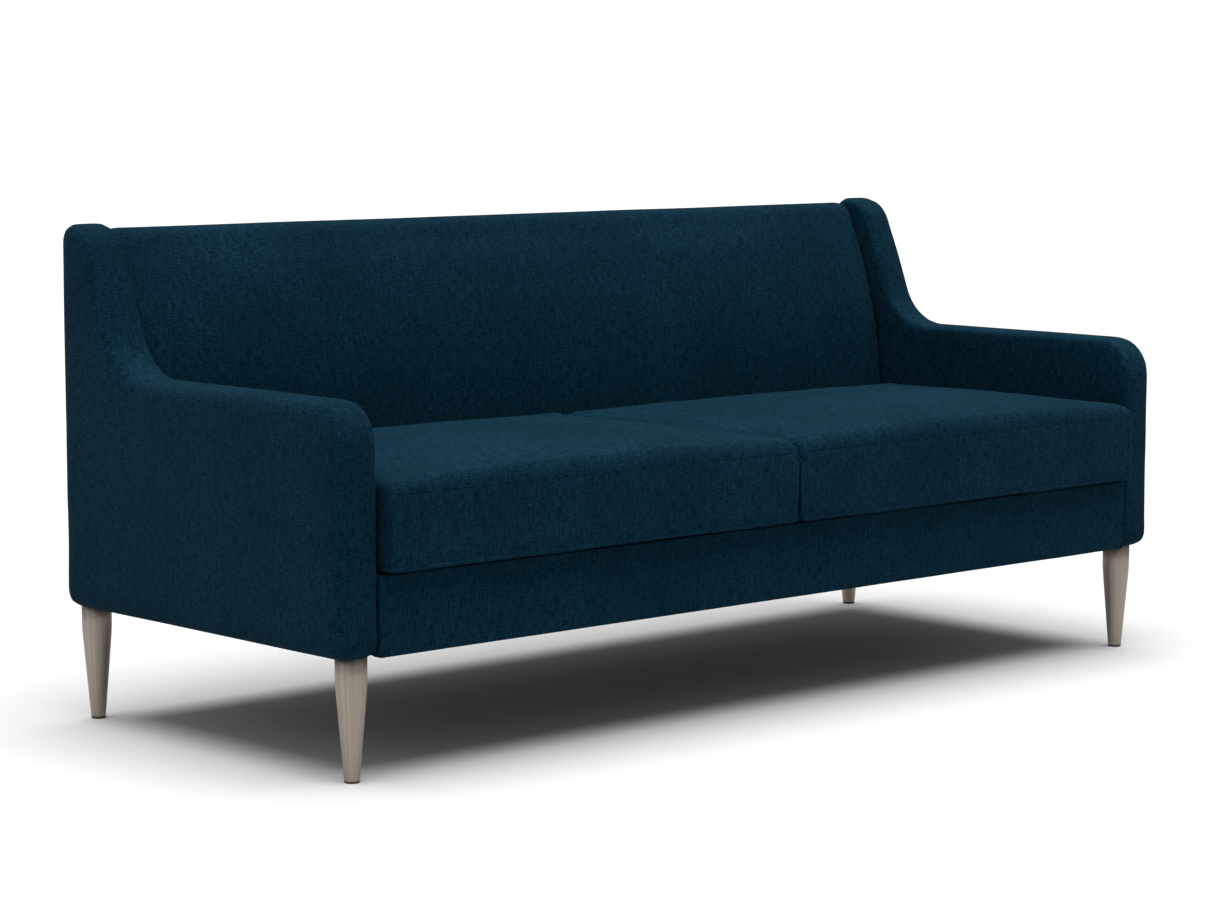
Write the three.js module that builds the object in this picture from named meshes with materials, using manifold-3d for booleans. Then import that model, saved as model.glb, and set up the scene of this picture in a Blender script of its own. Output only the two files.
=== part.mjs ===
// Futon sofa bed: a two-seat sofa with winged arms, whose one-piece back hinges down
// flat behind the seat. Millimetres, +Z up, front towards -Y, origin on the floor under
// the middle of the whole sofa.

import * as THREE from 'three';
import { mergeVertices } from 'three/addons/utils/BufferGeometryUtils.js';
import { RoundedBoxGeometry } from 'three/addons/geometries/RoundedBoxGeometry.js';
import Module from 'manifold-3d';

const wasm = await Module();
wasm.setup();

const DEG = Math.PI / 180;

// ---- Driving dimensions ----------------------------------------------------------

const WIDTH = 1905;              // outside of one arm to outside of the other
const DEPTH = 780;               // front of the seat cushions to rear of the arms
const FIT = 0.3;                 // clearance between pieces that touch

// Arms
const ARM_THICKNESS = 75;
const ARM_BOTTOM = 190;          // underside of the arms above the floor
const ARM_HEIGHT = 392;          // arm top above its underside
const WING_HEIGHT = 636;         // wing top above the arm's underside
const ARM_EDGE_R = 20;           // soft rounding all round the side panel
const ARM_CORNER_R = 26;         // the two bottom corners
const ARM_FRONT_R = 70;          // front top corner of the arm
const WING_FOOT_R = 106;         // hollow curve where the sweep leaves the arm's top
const WING_HEAD_R = 68;          // round curve where the sweep meets the wing's top
const WING_SLOPE = 66.4 * DEG;   // steepest part of the sweep, from the horizontal
const WING_FLAT = 8;             // level stretch between the head curve and the rear corner
const WING_REAR_R = 24;
const ARM_PAD = 13.7;            // padding and cover over the arm's plywood
const ARM_BEHIND_CUSHION = 21;   // the seat cushions stand this far ahead of the arms

// Legs
const LEG_TOP_R = 24.8;
const LEG_FOOT_R = 12;
const LEG_TAPER_TOP = 135;       // the taper ends here and the leg turns nearly straight
const LEG_TAPER_SHY = 1.4;       // the taper's top is this much slimmer than the leg's top
const LEG_SHOULDER = 26;         // height over which the leg then fills out
const LEG_SHOULDER_SHY = 0.3;
const LEG_WALL = 1.6;
const LEG_INBOARD = 11;          // leg axis inboard of the arm's middle plane
const LEG_FRONT_INSET = 42;      // leg axis behind the arm's front
const LEG_REAR_INSET = 27;       // leg axis ahead of the arm's rear
const GLIDE_HEIGHT = 3;
const GLIDE_SPIGOT = 14;
const GLIDE_CHAMFER = 1;
const LEG_PLATE = 3;             // steel plate between arm and leg
const BOLT_R = 4;
const BOLT_LENGTH = 48;

// Seat platform
const BOARD = 22;                // thickness of every rail
const RAIL_HEIGHT = 100;
const RAIL_RAISE = 13;           // rail underside above the arm's underside
const SIDE_RAIL_THICK = 41.5;
const HINGE_BAY = 19.8;          // room between side rail and arm for the hinge plates
const HINGE_BAY_REACH = 62;      // how far ahead of the hinge pin that room starts
const SPRING_WIRE_R = 2;
const SPRING_SWING = 22;
const SPRING_LOOPS = 6;
const SPRING_PITCH = 334;        // two springs stand this far apart on either side of the middle
const DECK_PAD = 14;
const APRON_SETBACK = 3;         // front apron behind the arms' front
const APRON_PAD = 13.7;
const APRON_RAISE = 2;           // apron underside above the arm's underside
const APRON_CHAMFER = 4;
const APRON_BELOW_DECK = 4;
const APRON_TURN_IN = 8;         // the aprons' upholstery is tacked this far onto their rails
const REAR_APRON_PAD = 7.4;
const DUST_CLOTH = 2;

// Seat cushions
const CUSHION_THICKNESS = 162;
const CUSHION_EDGE_R = 28;
const CUSHION_COVER = 3;
const CUSHION_SIDE_GAP = 1.5;    // each cushion's clearance at either end
const CUSHION_BACK_GAP = 8;      // room for the back's lower edge to swing past
const ZIP_WIDTH = 560;
const ZIP_OPENING = 4;

// Back
const BACK_DEPTH = 144;          // front to rear at seat level
const BACK_REAR_INSET = 6;       // rear face ahead of the arms' rear
const BACK_BELOW_WING = 7;
const BACK_SIDE_GAP = 3;
const BACK_TOP_DEPTH = 40.3;     // the front face is upright at seat level and bows back to this
const BACK_BOW_START = 78;       // where the bow starts, above the seat deck
const BACK_TOP_R = 34;
const BACK_TOE_R = 8;
const BACK_EDGE_R = 6;           // the back's two ends
const BACK_PAD = 18;
const BACK_TOP_PAD = 22;
const BACK_PANEL = 7;
const PANEL_GAP = 2;             // round the rear panel and between it and the frame
const PANEL_BELOW_PIN = 10;
const BACK_BOARD = 18;
const FRAME_CLEAR = 69;          // the back's frame starts this far above its lower edge
const FRAME_TOP_GAP = 4;
const FRAME_PAD_GAP = 2;         // between the frame's bottom rail and the padding
const GUSSET_PAD_GAP = 6;        // between the gussets and the padding, for the webs
const TOP_RAIL_HEIGHT = 46;
const WEB_HEIGHT = 60;
const WEB_THICK = 2;
const WEB_LEVELS = { lower: 0.38, upper: 0.76 };   // up the gussets

// Back hinge
const PIVOT_RISE = 23.4;         // hinge pin above the seat deck
const PIVOT_REACH = 32;          // back's rear face behind the hinge pin
const PIN_R = 6;
const PIN_HEAD_R = 11;
const PLATE = 5;                 // fixed plate thickness
const PLATE_FOOT_INSET = 6;      // from the front of the hinge's room to the plate
const PLATE_FOOT_RAISE = 12;     // plate's lower edge above the rail's
const PLATE_FOOT_HEIGHT = 62;
const PLATE_NECK = 36;           // the eye's straight sides run this far below the pin
const LEVER = 4;                 // moving plate and pawl thickness
const RATCHET_COVER = 5;         // upholstery left outside the ratchet disc
const TOOTH_DEPTH = 4;
const TOOTH_HALF = 7;            // degrees from a notch's bottom to its edge
const RATCHET_STOPS = [-96, -56, -18];   // degrees round the disc: sofa, lounge, bed
const LEVER_WIDTH = 34;
const LEVER_LENGTH = 195;
const LEVER_TIP = 8;
const NOTCH_REACH = 45;          // the back's lower corners are open this far ahead of the pin
const NOTCH_RISE = 28;           // and this far above it
const PIN_HEAD = 4;
const PIN_COLLAR = 4;
const PIN_COLLAR_RIM = 3;
const PAWL_PIVOT = { y: -40, z: -62 };   // from the hinge pin
const PAWL_TIP_AHEAD = 3;                // tip of the pawl, ahead of the pin
const PAWL_LIFT = 1.2;                   // and this far below the ratchet disc
const PAWL_TOOTH = { y: 2.5, z: -4.5 };  // from the tip to the tooth's other corner
const PAWL_R = 8;
const PAWL_PIN_R = 4;
const PAWL_PIN_HEAD_R = 7;
const PAWL_PIN_HEAD = 1.4;
const PAWL_SPRING_R = 6.4;
const PAWL_SPRING_WIRE_R = 0.8;
const PAWL_SPRING_TURNS = 1.5;
const PAWL_SPRING_PITCH = 2.4 * PAWL_SPRING_WIRE_R;
const PAWL_SPRING_ROOM = 4.4;    // along the pawl's pin

// ---- Levels and stations that follow from them --------------------------------------

const FRONT_Y = -DEPTH / 2;
const ARM_REAR_Y = DEPTH / 2;
const ARM_FRONT_Y = FRONT_Y + ARM_BEHIND_CUSHION;
const ARM_X = (WIDTH - ARM_THICKNESS) / 2;
const ARM_INNER_X = WIDTH / 2 - ARM_THICKNESS;
const ARM_TOP = ARM_BOTTOM + ARM_HEIGHT;
const WING_TOP = ARM_BOTTOM + WING_HEIGHT;

const LEG_TOP = ARM_BOTTOM + ARM_PAD - LEG_PLATE - FIT;     // up in the padding, under the plate
const RAIL_BOTTOM = ARM_BOTTOM + RAIL_RAISE;
const RAIL_TOP = RAIL_BOTTOM + RAIL_HEIGHT;
const SPRING_Z = RAIL_TOP + FIT + SPRING_WIRE_R;
const DECK_BOTTOM = SPRING_Z + SPRING_WIRE_R + FIT;
const DECK_TOP = DECK_BOTTOM + DECK_PAD;
const APRON_BOTTOM = ARM_BOTTOM + APRON_RAISE;
const APRON_FRONT_Y = ARM_FRONT_Y + APRON_SETBACK;
const SIDE_RAIL_X = ARM_INNER_X - FIT - SIDE_RAIL_THICK;     // inner face
const HINGE_RAIL_X = ARM_INNER_X - HINGE_BAY;                // outer face in the hinge bay

const BACK_REAR_Y = ARM_REAR_Y - BACK_REAR_INSET;
const BACK_FRONT_Y = BACK_REAR_Y - BACK_DEPTH;
const BACK_TOP = WING_TOP - BACK_BELOW_WING;
const BACK_X = ARM_INNER_X - BACK_SIDE_GAP;
const PIVOT_Y = BACK_REAR_Y - PIVOT_REACH;
const PIVOT_Z = DECK_TOP + PIVOT_RISE;
const BACK_BOTTOM = PIVOT_Z - PIVOT_REACH;
const BOW_Z = DECK_TOP + BACK_BOW_START;
const BOW_BACK = BACK_DEPTH - BACK_TOP_DEPTH;
const BACK_BOW_R = ((BACK_TOP - BOW_Z) ** 2 + BOW_BACK ** 2) / (2 * BOW_BACK);

const SEAT_REAR_Y = BACK_FRONT_Y - CUSHION_BACK_GAP;
const FRONT_RAIL_Y = APRON_FRONT_Y + APRON_PAD + FIT;        // front face
const SPRING_RAIL_Y = SEAT_REAR_Y - BOARD - FIT;             // front face
const REAR_RAIL_Y = BACK_REAR_Y - REAR_APRON_PAD - FIT;      // rear face
const APRON_LIP = SPRING_WIRE_R * 2;

const FIXED_DISC_R = PIVOT_REACH - REAR_APRON_PAD - 2 * FIT;
const RATCHET_R = PIVOT_REACH - RATCHET_COVER;
const PAWL_TIP = { y: -PAWL_TIP_AHEAD, z: -RATCHET_R - PAWL_LIFT };   // from the hinge pin

// ---- Finishes ------------------------------------------------------------------------

const finish = (color, roughness, metalness) =>
  new THREE.MeshStandardMaterial({ color, roughness, metalness });

const TEAL_LINEN = finish(0x12364a, 0.9, 0);
const BLACK_CLOTH = finish(0x17181a, 0.95, 0);
const FOAM = finish(0xd9cfa8, 0.95, 0);
const PINE = finish(0xc39a66, 0.7, 0);
const PLYWOOD = finish(0xb98f5e, 0.7, 0);
const CHAMPAGNE_STEEL = finish(0x9a9085, 0.35, 0.9);
const ZINC_STEEL = finish(0x8b8e90, 0.45, 0.9);
const SPRING_STEEL = finish(0x3a3b3d, 0.5, 0.8);
const DARK_PLASTIC = finish(0x2b2724, 0.6, 0);

// ---- Helpers ---------------------------------------------------------------------------

function part(name, geometry, material, x = 0, y = 0, z = 0) {
  const mesh = new THREE.Mesh(geometry, material);
  mesh.name = name;
  mesh.position.set(x, y, z);
  return mesh;
}

// A box by its three pairs of faces.
function block(name, material, [x0, x1], [y0, y1], [z0, z1]) {
  const geometry = new THREE.BoxGeometry(x1 - x0, y1 - y0, z1 - z0);
  return part(name, geometry, material, (x0 + x1) / 2, (y0 + y1) / 2, (z0 + z1) / 2);
}

// A side view drawn in (y, z), given a thickness along X and centred on x = 0.
function sidePlate(shape, thickness, edge = 0, curveSegments = 4) {
  const geometry = new THREE.ExtrudeGeometry(shape, {
    depth: thickness - 2 * edge,
    curveSegments,
    bevelEnabled: edge > 0,
    bevelThickness: edge,
    bevelSize: edge,
    bevelOffset: -edge,
    bevelSegments: 3,
  });
  geometry.translate(0, 0, edge - thickness / 2);
  const turn = new THREE.Matrix4().makeBasis(
    new THREE.Vector3(0, 1, 0), new THREE.Vector3(0, 0, 1), new THREE.Vector3(1, 0, 0));
  return geometry.applyMatrix4(turn);
}

// A turned piece standing on z = 0, from (radius, height) points.
function turned(points, segments) {
  const profile = points.map(([r, z]) => new THREE.Vector2(r, z));
  return new THREE.LatheGeometry(profile, segments).rotateX(Math.PI / 2);
}

// A turned piece whose axis lies along X, centred on x = 0.
const pinAlongX = (points, segments) => turned(points, segments).rotateY(Math.PI / 2);

function polygon(points) {
  return new THREE.Shape(points.map(([y, z]) => new THREE.Vector2(y, z)));
}

function toSolid(geometry, position) {
  const bare = geometry.clone();
  bare.deleteAttribute('normal');
  bare.deleteAttribute('uv');
  if (position) bare.translate(...position);
  const merged = mergeVertices(bare, 1e-3);
  return new wasm.Manifold(new wasm.Mesh({
    numProp: 3,
    vertProperties: Float32Array.from(merged.attributes.position.array),
    triVerts: Uint32Array.from(merged.index.array),
  }));
}

// Cuts each [geometry, position] tool out of the blank.
function cut(blank, ...tools) {
  const solid = tools.reduce(
    (left, [geometry, position]) => left.subtract(toSolid(geometry, position)), toSolid(blank));
  const { vertProperties, triVerts } = solid.getMesh();
  const geometry = new THREE.BufferGeometry();
  geometry.setAttribute('position', new THREE.BufferAttribute(Float32Array.from(vertProperties), 3));
  geometry.setIndex(new THREE.BufferAttribute(Uint32Array.from(triVerts), 1));
  geometry.computeVertexNormals();
  return geometry;
}

const boxTool = (width, depth, height, position) =>
  [new THREE.BoxGeometry(width, depth, height), position];

const discTool = (radius, height, position, segments = 16) =>
  [new THREE.CylinderGeometry(radius, radius, height, segments).rotateX(Math.PI / 2), position];

const sides = [['left', -1], ['right', 1]];
const LEG_SEGMENTS = 20;

// ---- Arms ------------------------------------------------------------------------------

// The winged side panel seen from the side, drawn inwards by an inset.
function armProfile(inset) {
  const front = ARM_FRONT_Y + inset;
  const rear = ARM_REAR_Y - inset;
  const bottom = ARM_BOTTOM + inset;
  const corner = Math.max(ARM_CORNER_R - inset, 1);
  const crownY = ARM_REAR_Y - WING_REAR_R;
  const crownZ = WING_TOP - WING_REAR_R;
  const headY = crownY - WING_FLAT;
  const curves = WING_FOOT_R + WING_HEAD_R;
  const rise = WING_HEIGHT - ARM_HEIGHT - curves * (1 - Math.cos(WING_SLOPE));
  const footY = headY - curves * Math.sin(WING_SLOPE) - rise / Math.tan(WING_SLOPE);
  const slopeNormal = Math.PI / 2 + WING_SLOPE;
  const shape = new THREE.Shape();
  shape.moveTo(front + corner, bottom);
  shape.lineTo(rear - corner, bottom);
  shape.absarc(rear - corner, bottom + corner, corner, -Math.PI / 2, 0, false);
  shape.lineTo(rear, crownZ);
  shape.absarc(crownY, crownZ, WING_REAR_R - inset, 0, Math.PI / 2, false);
  shape.lineTo(headY, WING_TOP - inset);
  shape.absarc(headY, WING_TOP - WING_HEAD_R, WING_HEAD_R - inset, Math.PI / 2, slopeNormal, false);
  shape.absarc(footY, ARM_TOP + WING_FOOT_R, WING_FOOT_R + inset, slopeNormal - Math.PI,
    -Math.PI / 2, true);
  shape.lineTo(ARM_FRONT_Y + ARM_FRONT_R, ARM_TOP - inset);
  shape.absarc(ARM_FRONT_Y + ARM_FRONT_R, ARM_TOP - ARM_FRONT_R, ARM_FRONT_R - inset,
    Math.PI / 2, Math.PI, false);
  shape.lineTo(front, bottom + corner);
  shape.absarc(front + corner, bottom + corner, corner, Math.PI, 1.5 * Math.PI, false);
  return shape;
}

// Each leg stands under a square steel plate, which keeps inside the cover's end walls.
const PLATE_SIZE = ARM_THICKNESS - 2 * ARM_PAD - 2 * FIT;
const plateShift = (inset) => Math.max(0, ARM_PAD + 2 * FIT + PLATE_SIZE / 2 - inset);
const legStations = [
  {
    end: 'front',
    y: ARM_FRONT_Y + LEG_FRONT_INSET,
    plateY: ARM_FRONT_Y + LEG_FRONT_INSET + plateShift(LEG_FRONT_INSET),
  },
  {
    end: 'rear',
    y: ARM_REAR_Y - LEG_REAR_INSET,
    plateY: ARM_REAR_Y - LEG_REAR_INSET - plateShift(LEG_REAR_INSET),
  },
];

function arms() {
  const group = new THREE.Group();
  const frameThickness = ARM_THICKNESS - 2 * (ARM_PAD + FIT);
  const cavityThickness = frameThickness + 2 * FIT;
  const mouthLength = ARM_REAR_Y - ARM_FRONT_Y - 2 * (ARM_PAD + ARM_CORNER_R);
  const mouthHeight = 4 * ARM_PAD;
  const mouthZ = ARM_BOTTOM + mouthHeight / 2 - ARM_PAD;
  const panel = sidePlate(armProfile(ARM_PAD + FIT), frameThickness);
  const socketTop = LEG_TOP + FIT;
  const socketDepth = 3 * ARM_PAD;
  for (const [side, sign] of sides) {
    const x = -sign * LEG_INBOARD;
    const boltHoles = legStations.map(({ y }) =>
      discTool(BOLT_R + FIT, 3 * BOLT_LENGTH, [x, y, ARM_BOTTOM]));
    const legSockets = legStations.map(({ y }) =>
      discTool(LEG_TOP_R + FIT, socketDepth, [x, y, socketTop - socketDepth / 2], LEG_SEGMENTS));
    const plateRooms = legStations.map(({ plateY }) =>
      boxTool(cavityThickness, PLATE_SIZE + 2 * FIT, mouthHeight, [0, plateY, mouthZ]));
    group.add(part(`arm_frame_${side}`, cut(panel, ...boltHoles), PLYWOOD, sign * ARM_X));
    group.add(part(`arm_cover_${side}`, cut(
      sidePlate(armProfile(0), ARM_THICKNESS, ARM_EDGE_R),
      [sidePlate(armProfile(ARM_PAD), cavityThickness)],
      boxTool(cavityThickness, mouthLength, mouthHeight,
        [0, (ARM_REAR_Y + ARM_FRONT_Y) / 2, mouthZ]),
      ...plateRooms, ...legSockets), TEAL_LINEN, sign * ARM_X));
  }
  return group;
}

// ---- Legs ------------------------------------------------------------------------------

function legs() {
  const group = new THREE.Group();
  const taperR = LEG_TOP_R - LEG_TAPER_SHY;
  const leg = turned([
    [LEG_FOOT_R, GLIDE_HEIGHT + FIT],
    [taperR, LEG_TAPER_TOP],
    [LEG_TOP_R - LEG_SHOULDER_SHY, LEG_TAPER_TOP + LEG_SHOULDER],
    [LEG_TOP_R, LEG_TOP],
    [BOLT_R + FIT, LEG_TOP],
    [BOLT_R + FIT, LEG_TOP - LEG_WALL * 2],
    [LEG_TOP_R - LEG_WALL, LEG_TOP - LEG_WALL * 2],
    [taperR - LEG_WALL, LEG_TAPER_TOP],
    [LEG_FOOT_R - LEG_WALL, GLIDE_HEIGHT + FIT],
    [LEG_FOOT_R, GLIDE_HEIGHT + FIT],
  ], LEG_SEGMENTS);
  const glide = turned([
    [0, 0], [LEG_FOOT_R - GLIDE_CHAMFER, 0], [LEG_FOOT_R, GLIDE_CHAMFER],
    [LEG_FOOT_R, GLIDE_HEIGHT],
    [LEG_FOOT_R - LEG_WALL - FIT, GLIDE_HEIGHT],
    [LEG_FOOT_R - LEG_WALL - FIT, GLIDE_SPIGOT],
    [0, GLIDE_SPIGOT],
  ], 16);
  const bolt = turned([[0, 0], [BOLT_R, 0], [BOLT_R, BOLT_LENGTH], [0, BOLT_LENGTH]], 10);
  for (const [side, sign] of sides) {
    const x = sign * (ARM_X - LEG_INBOARD);
    for (const { end, y, plateY } of legStations) {
      const place = `${end}_${side}`;
      const plate = cut(new THREE.BoxGeometry(PLATE_SIZE, PLATE_SIZE, LEG_PLATE),
        discTool(BOLT_R + FIT, 4 * LEG_PLATE, [-sign * LEG_INBOARD, y - plateY, 0]));
      group.add(part(`leg_${place}`, leg, CHAMPAGNE_STEEL, x, y, 0));
      group.add(part(`leg_glide_${place}`, glide, DARK_PLASTIC, x, y, 0));
      group.add(part(`leg_plate_${place}`, plate, ZINC_STEEL,
        sign * ARM_X, plateY, LEG_TOP + FIT + LEG_PLATE / 2));
      group.add(part(`leg_bolt_${place}`, bolt, ZINC_STEEL, x, y, LEG_TOP - BOLT_LENGTH / 3));
    }
  }
  return group;
}

// ---- Seat platform ---------------------------------------------------------------------

// A padded wrap over one rail, open towards the rail: wall, top lip and bottom lip in (y, z).
// towards is +1 when the wall is at the front and the lips run rearwards.
function railWrap(wallY, towards, wall, lipLength, bottom, top) {
  const lipTop = RAIL_TOP + FIT + APRON_LIP;
  const y = (distance) => wallY + towards * distance;
  const outline = [
    [y(0), bottom + APRON_CHAMFER], [y(APRON_CHAMFER), bottom], [y(lipLength), bottom],
    [y(lipLength), RAIL_BOTTOM - 2 * FIT], [y(wall), RAIL_BOTTOM - 2 * FIT],
    [y(wall), RAIL_TOP + FIT], [y(lipLength), RAIL_TOP + FIT],
    [y(lipLength), lipTop], [y(wall), lipTop], [y(wall), top],
    [y(APRON_CHAMFER), top], [y(0), top - APRON_CHAMFER],
  ];
  return sidePlate(polygon(outline), 2 * (ARM_INNER_X - FIT));
}

function seatSprings() {
  const start = FRONT_RAIL_Y + BOARD / 2;
  const end = SPRING_RAIL_Y + BOARD / 2;
  const half = (end - start) / (2 * SPRING_LOOPS);
  const points = [];
  for (let i = 0; i <= 2 * SPRING_LOOPS; i += 1) {
    const swing = SPRING_SWING * (i % 2 ? 1 : -1);
    points.push(new THREE.Vector3(swing, start + i * half, 0));
  }
  const path = new THREE.CatmullRomCurve3(points, false, 'catmullrom', 0.9);
  const wire = polygon([[0, 1], [1, 0], [0, -1], [-1, 0]]
    .map(([a, b]) => [a * SPRING_WIRE_R, b * SPRING_WIRE_R]));
  const geometry = new THREE.ExtrudeGeometry(wire, { steps: 8 * SPRING_LOOPS, extrudePath: path });
  const middle = SIDE_RAIL_X / 2;
  const stations = sides.flatMap(([, sign]) => [sign * middle - SPRING_PITCH / 2,
    sign * middle + SPRING_PITCH / 2]);
  return stations.map((x, index) =>
    part(`seat_spring_${index + 1}`, geometry, SPRING_STEEL, x, 0, SPRING_Z));
}

function seatPlatform() {
  const group = new THREE.Group();
  const rail = [RAIL_BOTTOM, RAIL_TOP];
  const inside = SIDE_RAIL_X - FIT;
  const bay = HINGE_RAIL_X - FIT;
  const frontRail = [FRONT_RAIL_Y, FRONT_RAIL_Y + BOARD];
  const springRail = [SPRING_RAIL_Y, SPRING_RAIL_Y + BOARD];
  const sideRailEnd = REAR_RAIL_Y - BOARD - FIT;
  const bayStart = PIVOT_Y - HINGE_BAY_REACH;
  group.add(block('front_rail', PINE, [-ARM_INNER_X + FIT, ARM_INNER_X - FIT], frontRail, rail));
  group.add(block('spring_rail', PINE, [-inside, inside], springRail, rail));
  group.add(block('rear_rail', PINE, [-bay, bay], [REAR_RAIL_Y - BOARD, REAR_RAIL_Y], rail));
  group.add(block('centre_rail', PINE, [-BOARD / 2, BOARD / 2],
    [frontRail[1] + FIT, springRail[0] - FIT], rail));
  for (const [side, sign] of sides) {
    const plan = polygon([
      [SIDE_RAIL_X, frontRail[1] + FIT], [ARM_INNER_X - FIT, frontRail[1] + FIT],
      [ARM_INNER_X - FIT, bayStart], [bay, bayStart], [bay, sideRailEnd], [SIDE_RAIL_X, sideRailEnd],
    ].map(([x, y]) => [sign * x, y]));
    const board = new THREE.ExtrudeGeometry(plan, { depth: RAIL_HEIGHT, bevelEnabled: false });
    group.add(part(`side_rail_${side}`, board, PINE, 0, 0, RAIL_BOTTOM));
  }
  group.add(part('front_apron', railWrap(APRON_FRONT_Y, 1, APRON_PAD, APRON_PAD + APRON_TURN_IN,
    APRON_BOTTOM, DECK_TOP - APRON_BELOW_DECK), TEAL_LINEN));
  const rearWrap = railWrap(BACK_REAR_Y, -1, REAR_APRON_PAD, REAR_APRON_PAD + APRON_TURN_IN,
    APRON_BOTTOM, RAIL_TOP + FIT + APRON_LIP);
  const hingeRooms = sides.map(([, sign]) => boxTool(2 * (HINGE_BAY + FIT), 2 * BOARD, WING_HEIGHT,
    [sign * ARM_INNER_X, REAR_RAIL_Y + FIT - BOARD, RAIL_BOTTOM]));
  group.add(part('rear_apron', cut(rearWrap, ...hingeRooms), TEAL_LINEN));
  group.add(...seatSprings());
  group.add(block('seat_deck', BLACK_CLOTH, [-ARM_INNER_X + FIT, ARM_INNER_X - FIT],
    [FRONT_RAIL_Y + FIT, springRail[1]], [DECK_BOTTOM, DECK_TOP]));
  group.add(block('dust_cover', BLACK_CLOTH, [-inside - BOARD, inside + BOARD],
    [frontRail[1] + 2 * FIT, REAR_RAIL_Y - BOARD - 2 * FIT],
    [RAIL_BOTTOM - FIT - DUST_CLOTH, RAIL_BOTTOM - FIT]));
  return group;
}

// ---- Seat cushions ---------------------------------------------------------------------

function seatCushions() {
  const group = new THREE.Group();
  const width = ARM_INNER_X - 2 * CUSHION_SIDE_GAP;
  const depth = SEAT_REAR_Y - FRONT_Y;
  const inner = [width, depth, CUSHION_THICKNESS].map((size) => size - 2 * CUSHION_COVER);
  const core = inner.map((size) => size - 2 * FIT);
  const cover = cut(
    new RoundedBoxGeometry(width, depth, CUSHION_THICKNESS, 2, CUSHION_EDGE_R),
    [new RoundedBoxGeometry(...inner, 2, CUSHION_EDGE_R - CUSHION_COVER)],
    boxTool(ZIP_WIDTH, 4 * CUSHION_COVER, ZIP_OPENING, [0, depth / 2, 0]));
  const foam = new RoundedBoxGeometry(...core, 2, CUSHION_EDGE_R - CUSHION_COVER - FIT);
  const y = (FRONT_Y + SEAT_REAR_Y) / 2;
  const z = DECK_TOP + FIT + CUSHION_THICKNESS / 2;
  for (const [side, sign] of sides) {
    const x = sign * ARM_INNER_X / 2;
    group.add(part(`seat_cushion_cover_${side}`, cover, TEAL_LINEN, x, y, z));
    group.add(part(`seat_cushion_foam_${side}`, foam, FOAM, x, y, z));
  }
  return group;
}

// ---- Back ------------------------------------------------------------------------------

const BOW_CENTRE_Y = BACK_FRONT_Y + BACK_BOW_R;

// How far back the front face has bowed at a height, for a face set in by an inset.
const bowY = (z, inset) => (z <= BOW_Z ? BACK_FRONT_Y + inset
  : BOW_CENTRE_Y - Math.sqrt((BACK_BOW_R - inset) ** 2 - (z - BOW_Z) ** 2));

// The bowed part of the front face, traced downwards from topZ and no lower than bottomZ.
function bowArc(shape, topZ, bottomZ, inset) {
  const radius = BACK_BOW_R - inset;
  const angleAt = (z) => Math.PI - Math.asin(Math.max(z - BOW_Z, 0) / radius);
  shape.absarc(BOW_CENTRE_Y, BOW_Z, radius, angleAt(topZ), angleAt(bottomZ), false);
}

// The whole back seen from the side: upright foot, bowed front, domed top, flat rear and
// a lower rear corner rounded about the hinge pin.
function backProfile() {
  const reach = BACK_BOW_R - BACK_TOP_R;
  const tilt = Math.asin((BACK_TOP - BACK_TOP_R - BOW_Z) / reach);
  const domeY = BOW_CENTRE_Y - reach * Math.cos(tilt);
  const domeZ = BACK_TOP - BACK_TOP_R;
  const rearR = BACK_REAR_Y - domeY;
  const shape = new THREE.Shape();
  shape.moveTo(BACK_FRONT_Y + BACK_TOE_R, BACK_BOTTOM);
  shape.lineTo(PIVOT_Y, BACK_BOTTOM);
  shape.absarc(PIVOT_Y, PIVOT_Z, PIVOT_REACH, -Math.PI / 2, 0, false);
  shape.lineTo(BACK_REAR_Y, BACK_TOP - rearR);
  shape.absarc(domeY, BACK_TOP - rearR, rearR, 0, Math.PI / 2, false);
  shape.absarc(domeY, domeZ, BACK_TOP_R, Math.PI / 2, Math.PI - tilt, false);
  bowArc(shape, domeZ + BACK_TOP_R * Math.sin(tilt), BACK_BOTTOM, 0);
  shape.lineTo(BACK_FRONT_Y, BACK_BOTTOM + BACK_TOE_R);
  shape.absarc(BACK_FRONT_Y + BACK_TOE_R, BACK_BOTTOM + BACK_TOE_R, BACK_TOE_R,
    Math.PI, 1.5 * Math.PI, false);
  return shape;
}

// A slice of the back from z0 to z1: flat rear at rearY, front face set in by an inset.
function backSlice(z0, z1, rearY, inset) {
  const shape = new THREE.Shape();
  shape.moveTo(bowY(z0, inset), z0);
  shape.lineTo(rearY, z0);
  shape.lineTo(rearY, z1);
  shape.lineTo(bowY(z1, inset), z1);
  bowArc(shape, z1, z0, inset);
  return shape;
}

const FRAME_BOTTOM = BACK_BOTTOM + FRAME_CLEAR;
const FRAME_TOP = BACK_TOP - BACK_TOP_PAD - FRAME_TOP_GAP;
const PANEL_FRONT_Y = BACK_REAR_Y - BACK_PANEL;
const FRAME_REAR_Y = PANEL_FRONT_Y - PANEL_GAP;
const LEVER_X = HINGE_RAIL_X + PLATE + LEVER / 2 + 3 * FIT;   // middle of the moving plate
const FRAME_X = LEVER_X - LEVER / 2 - FIT;                     // outer face of the back's frame
const CAVITY_X = LEVER_X + LEVER / 2 + FIT;

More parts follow.
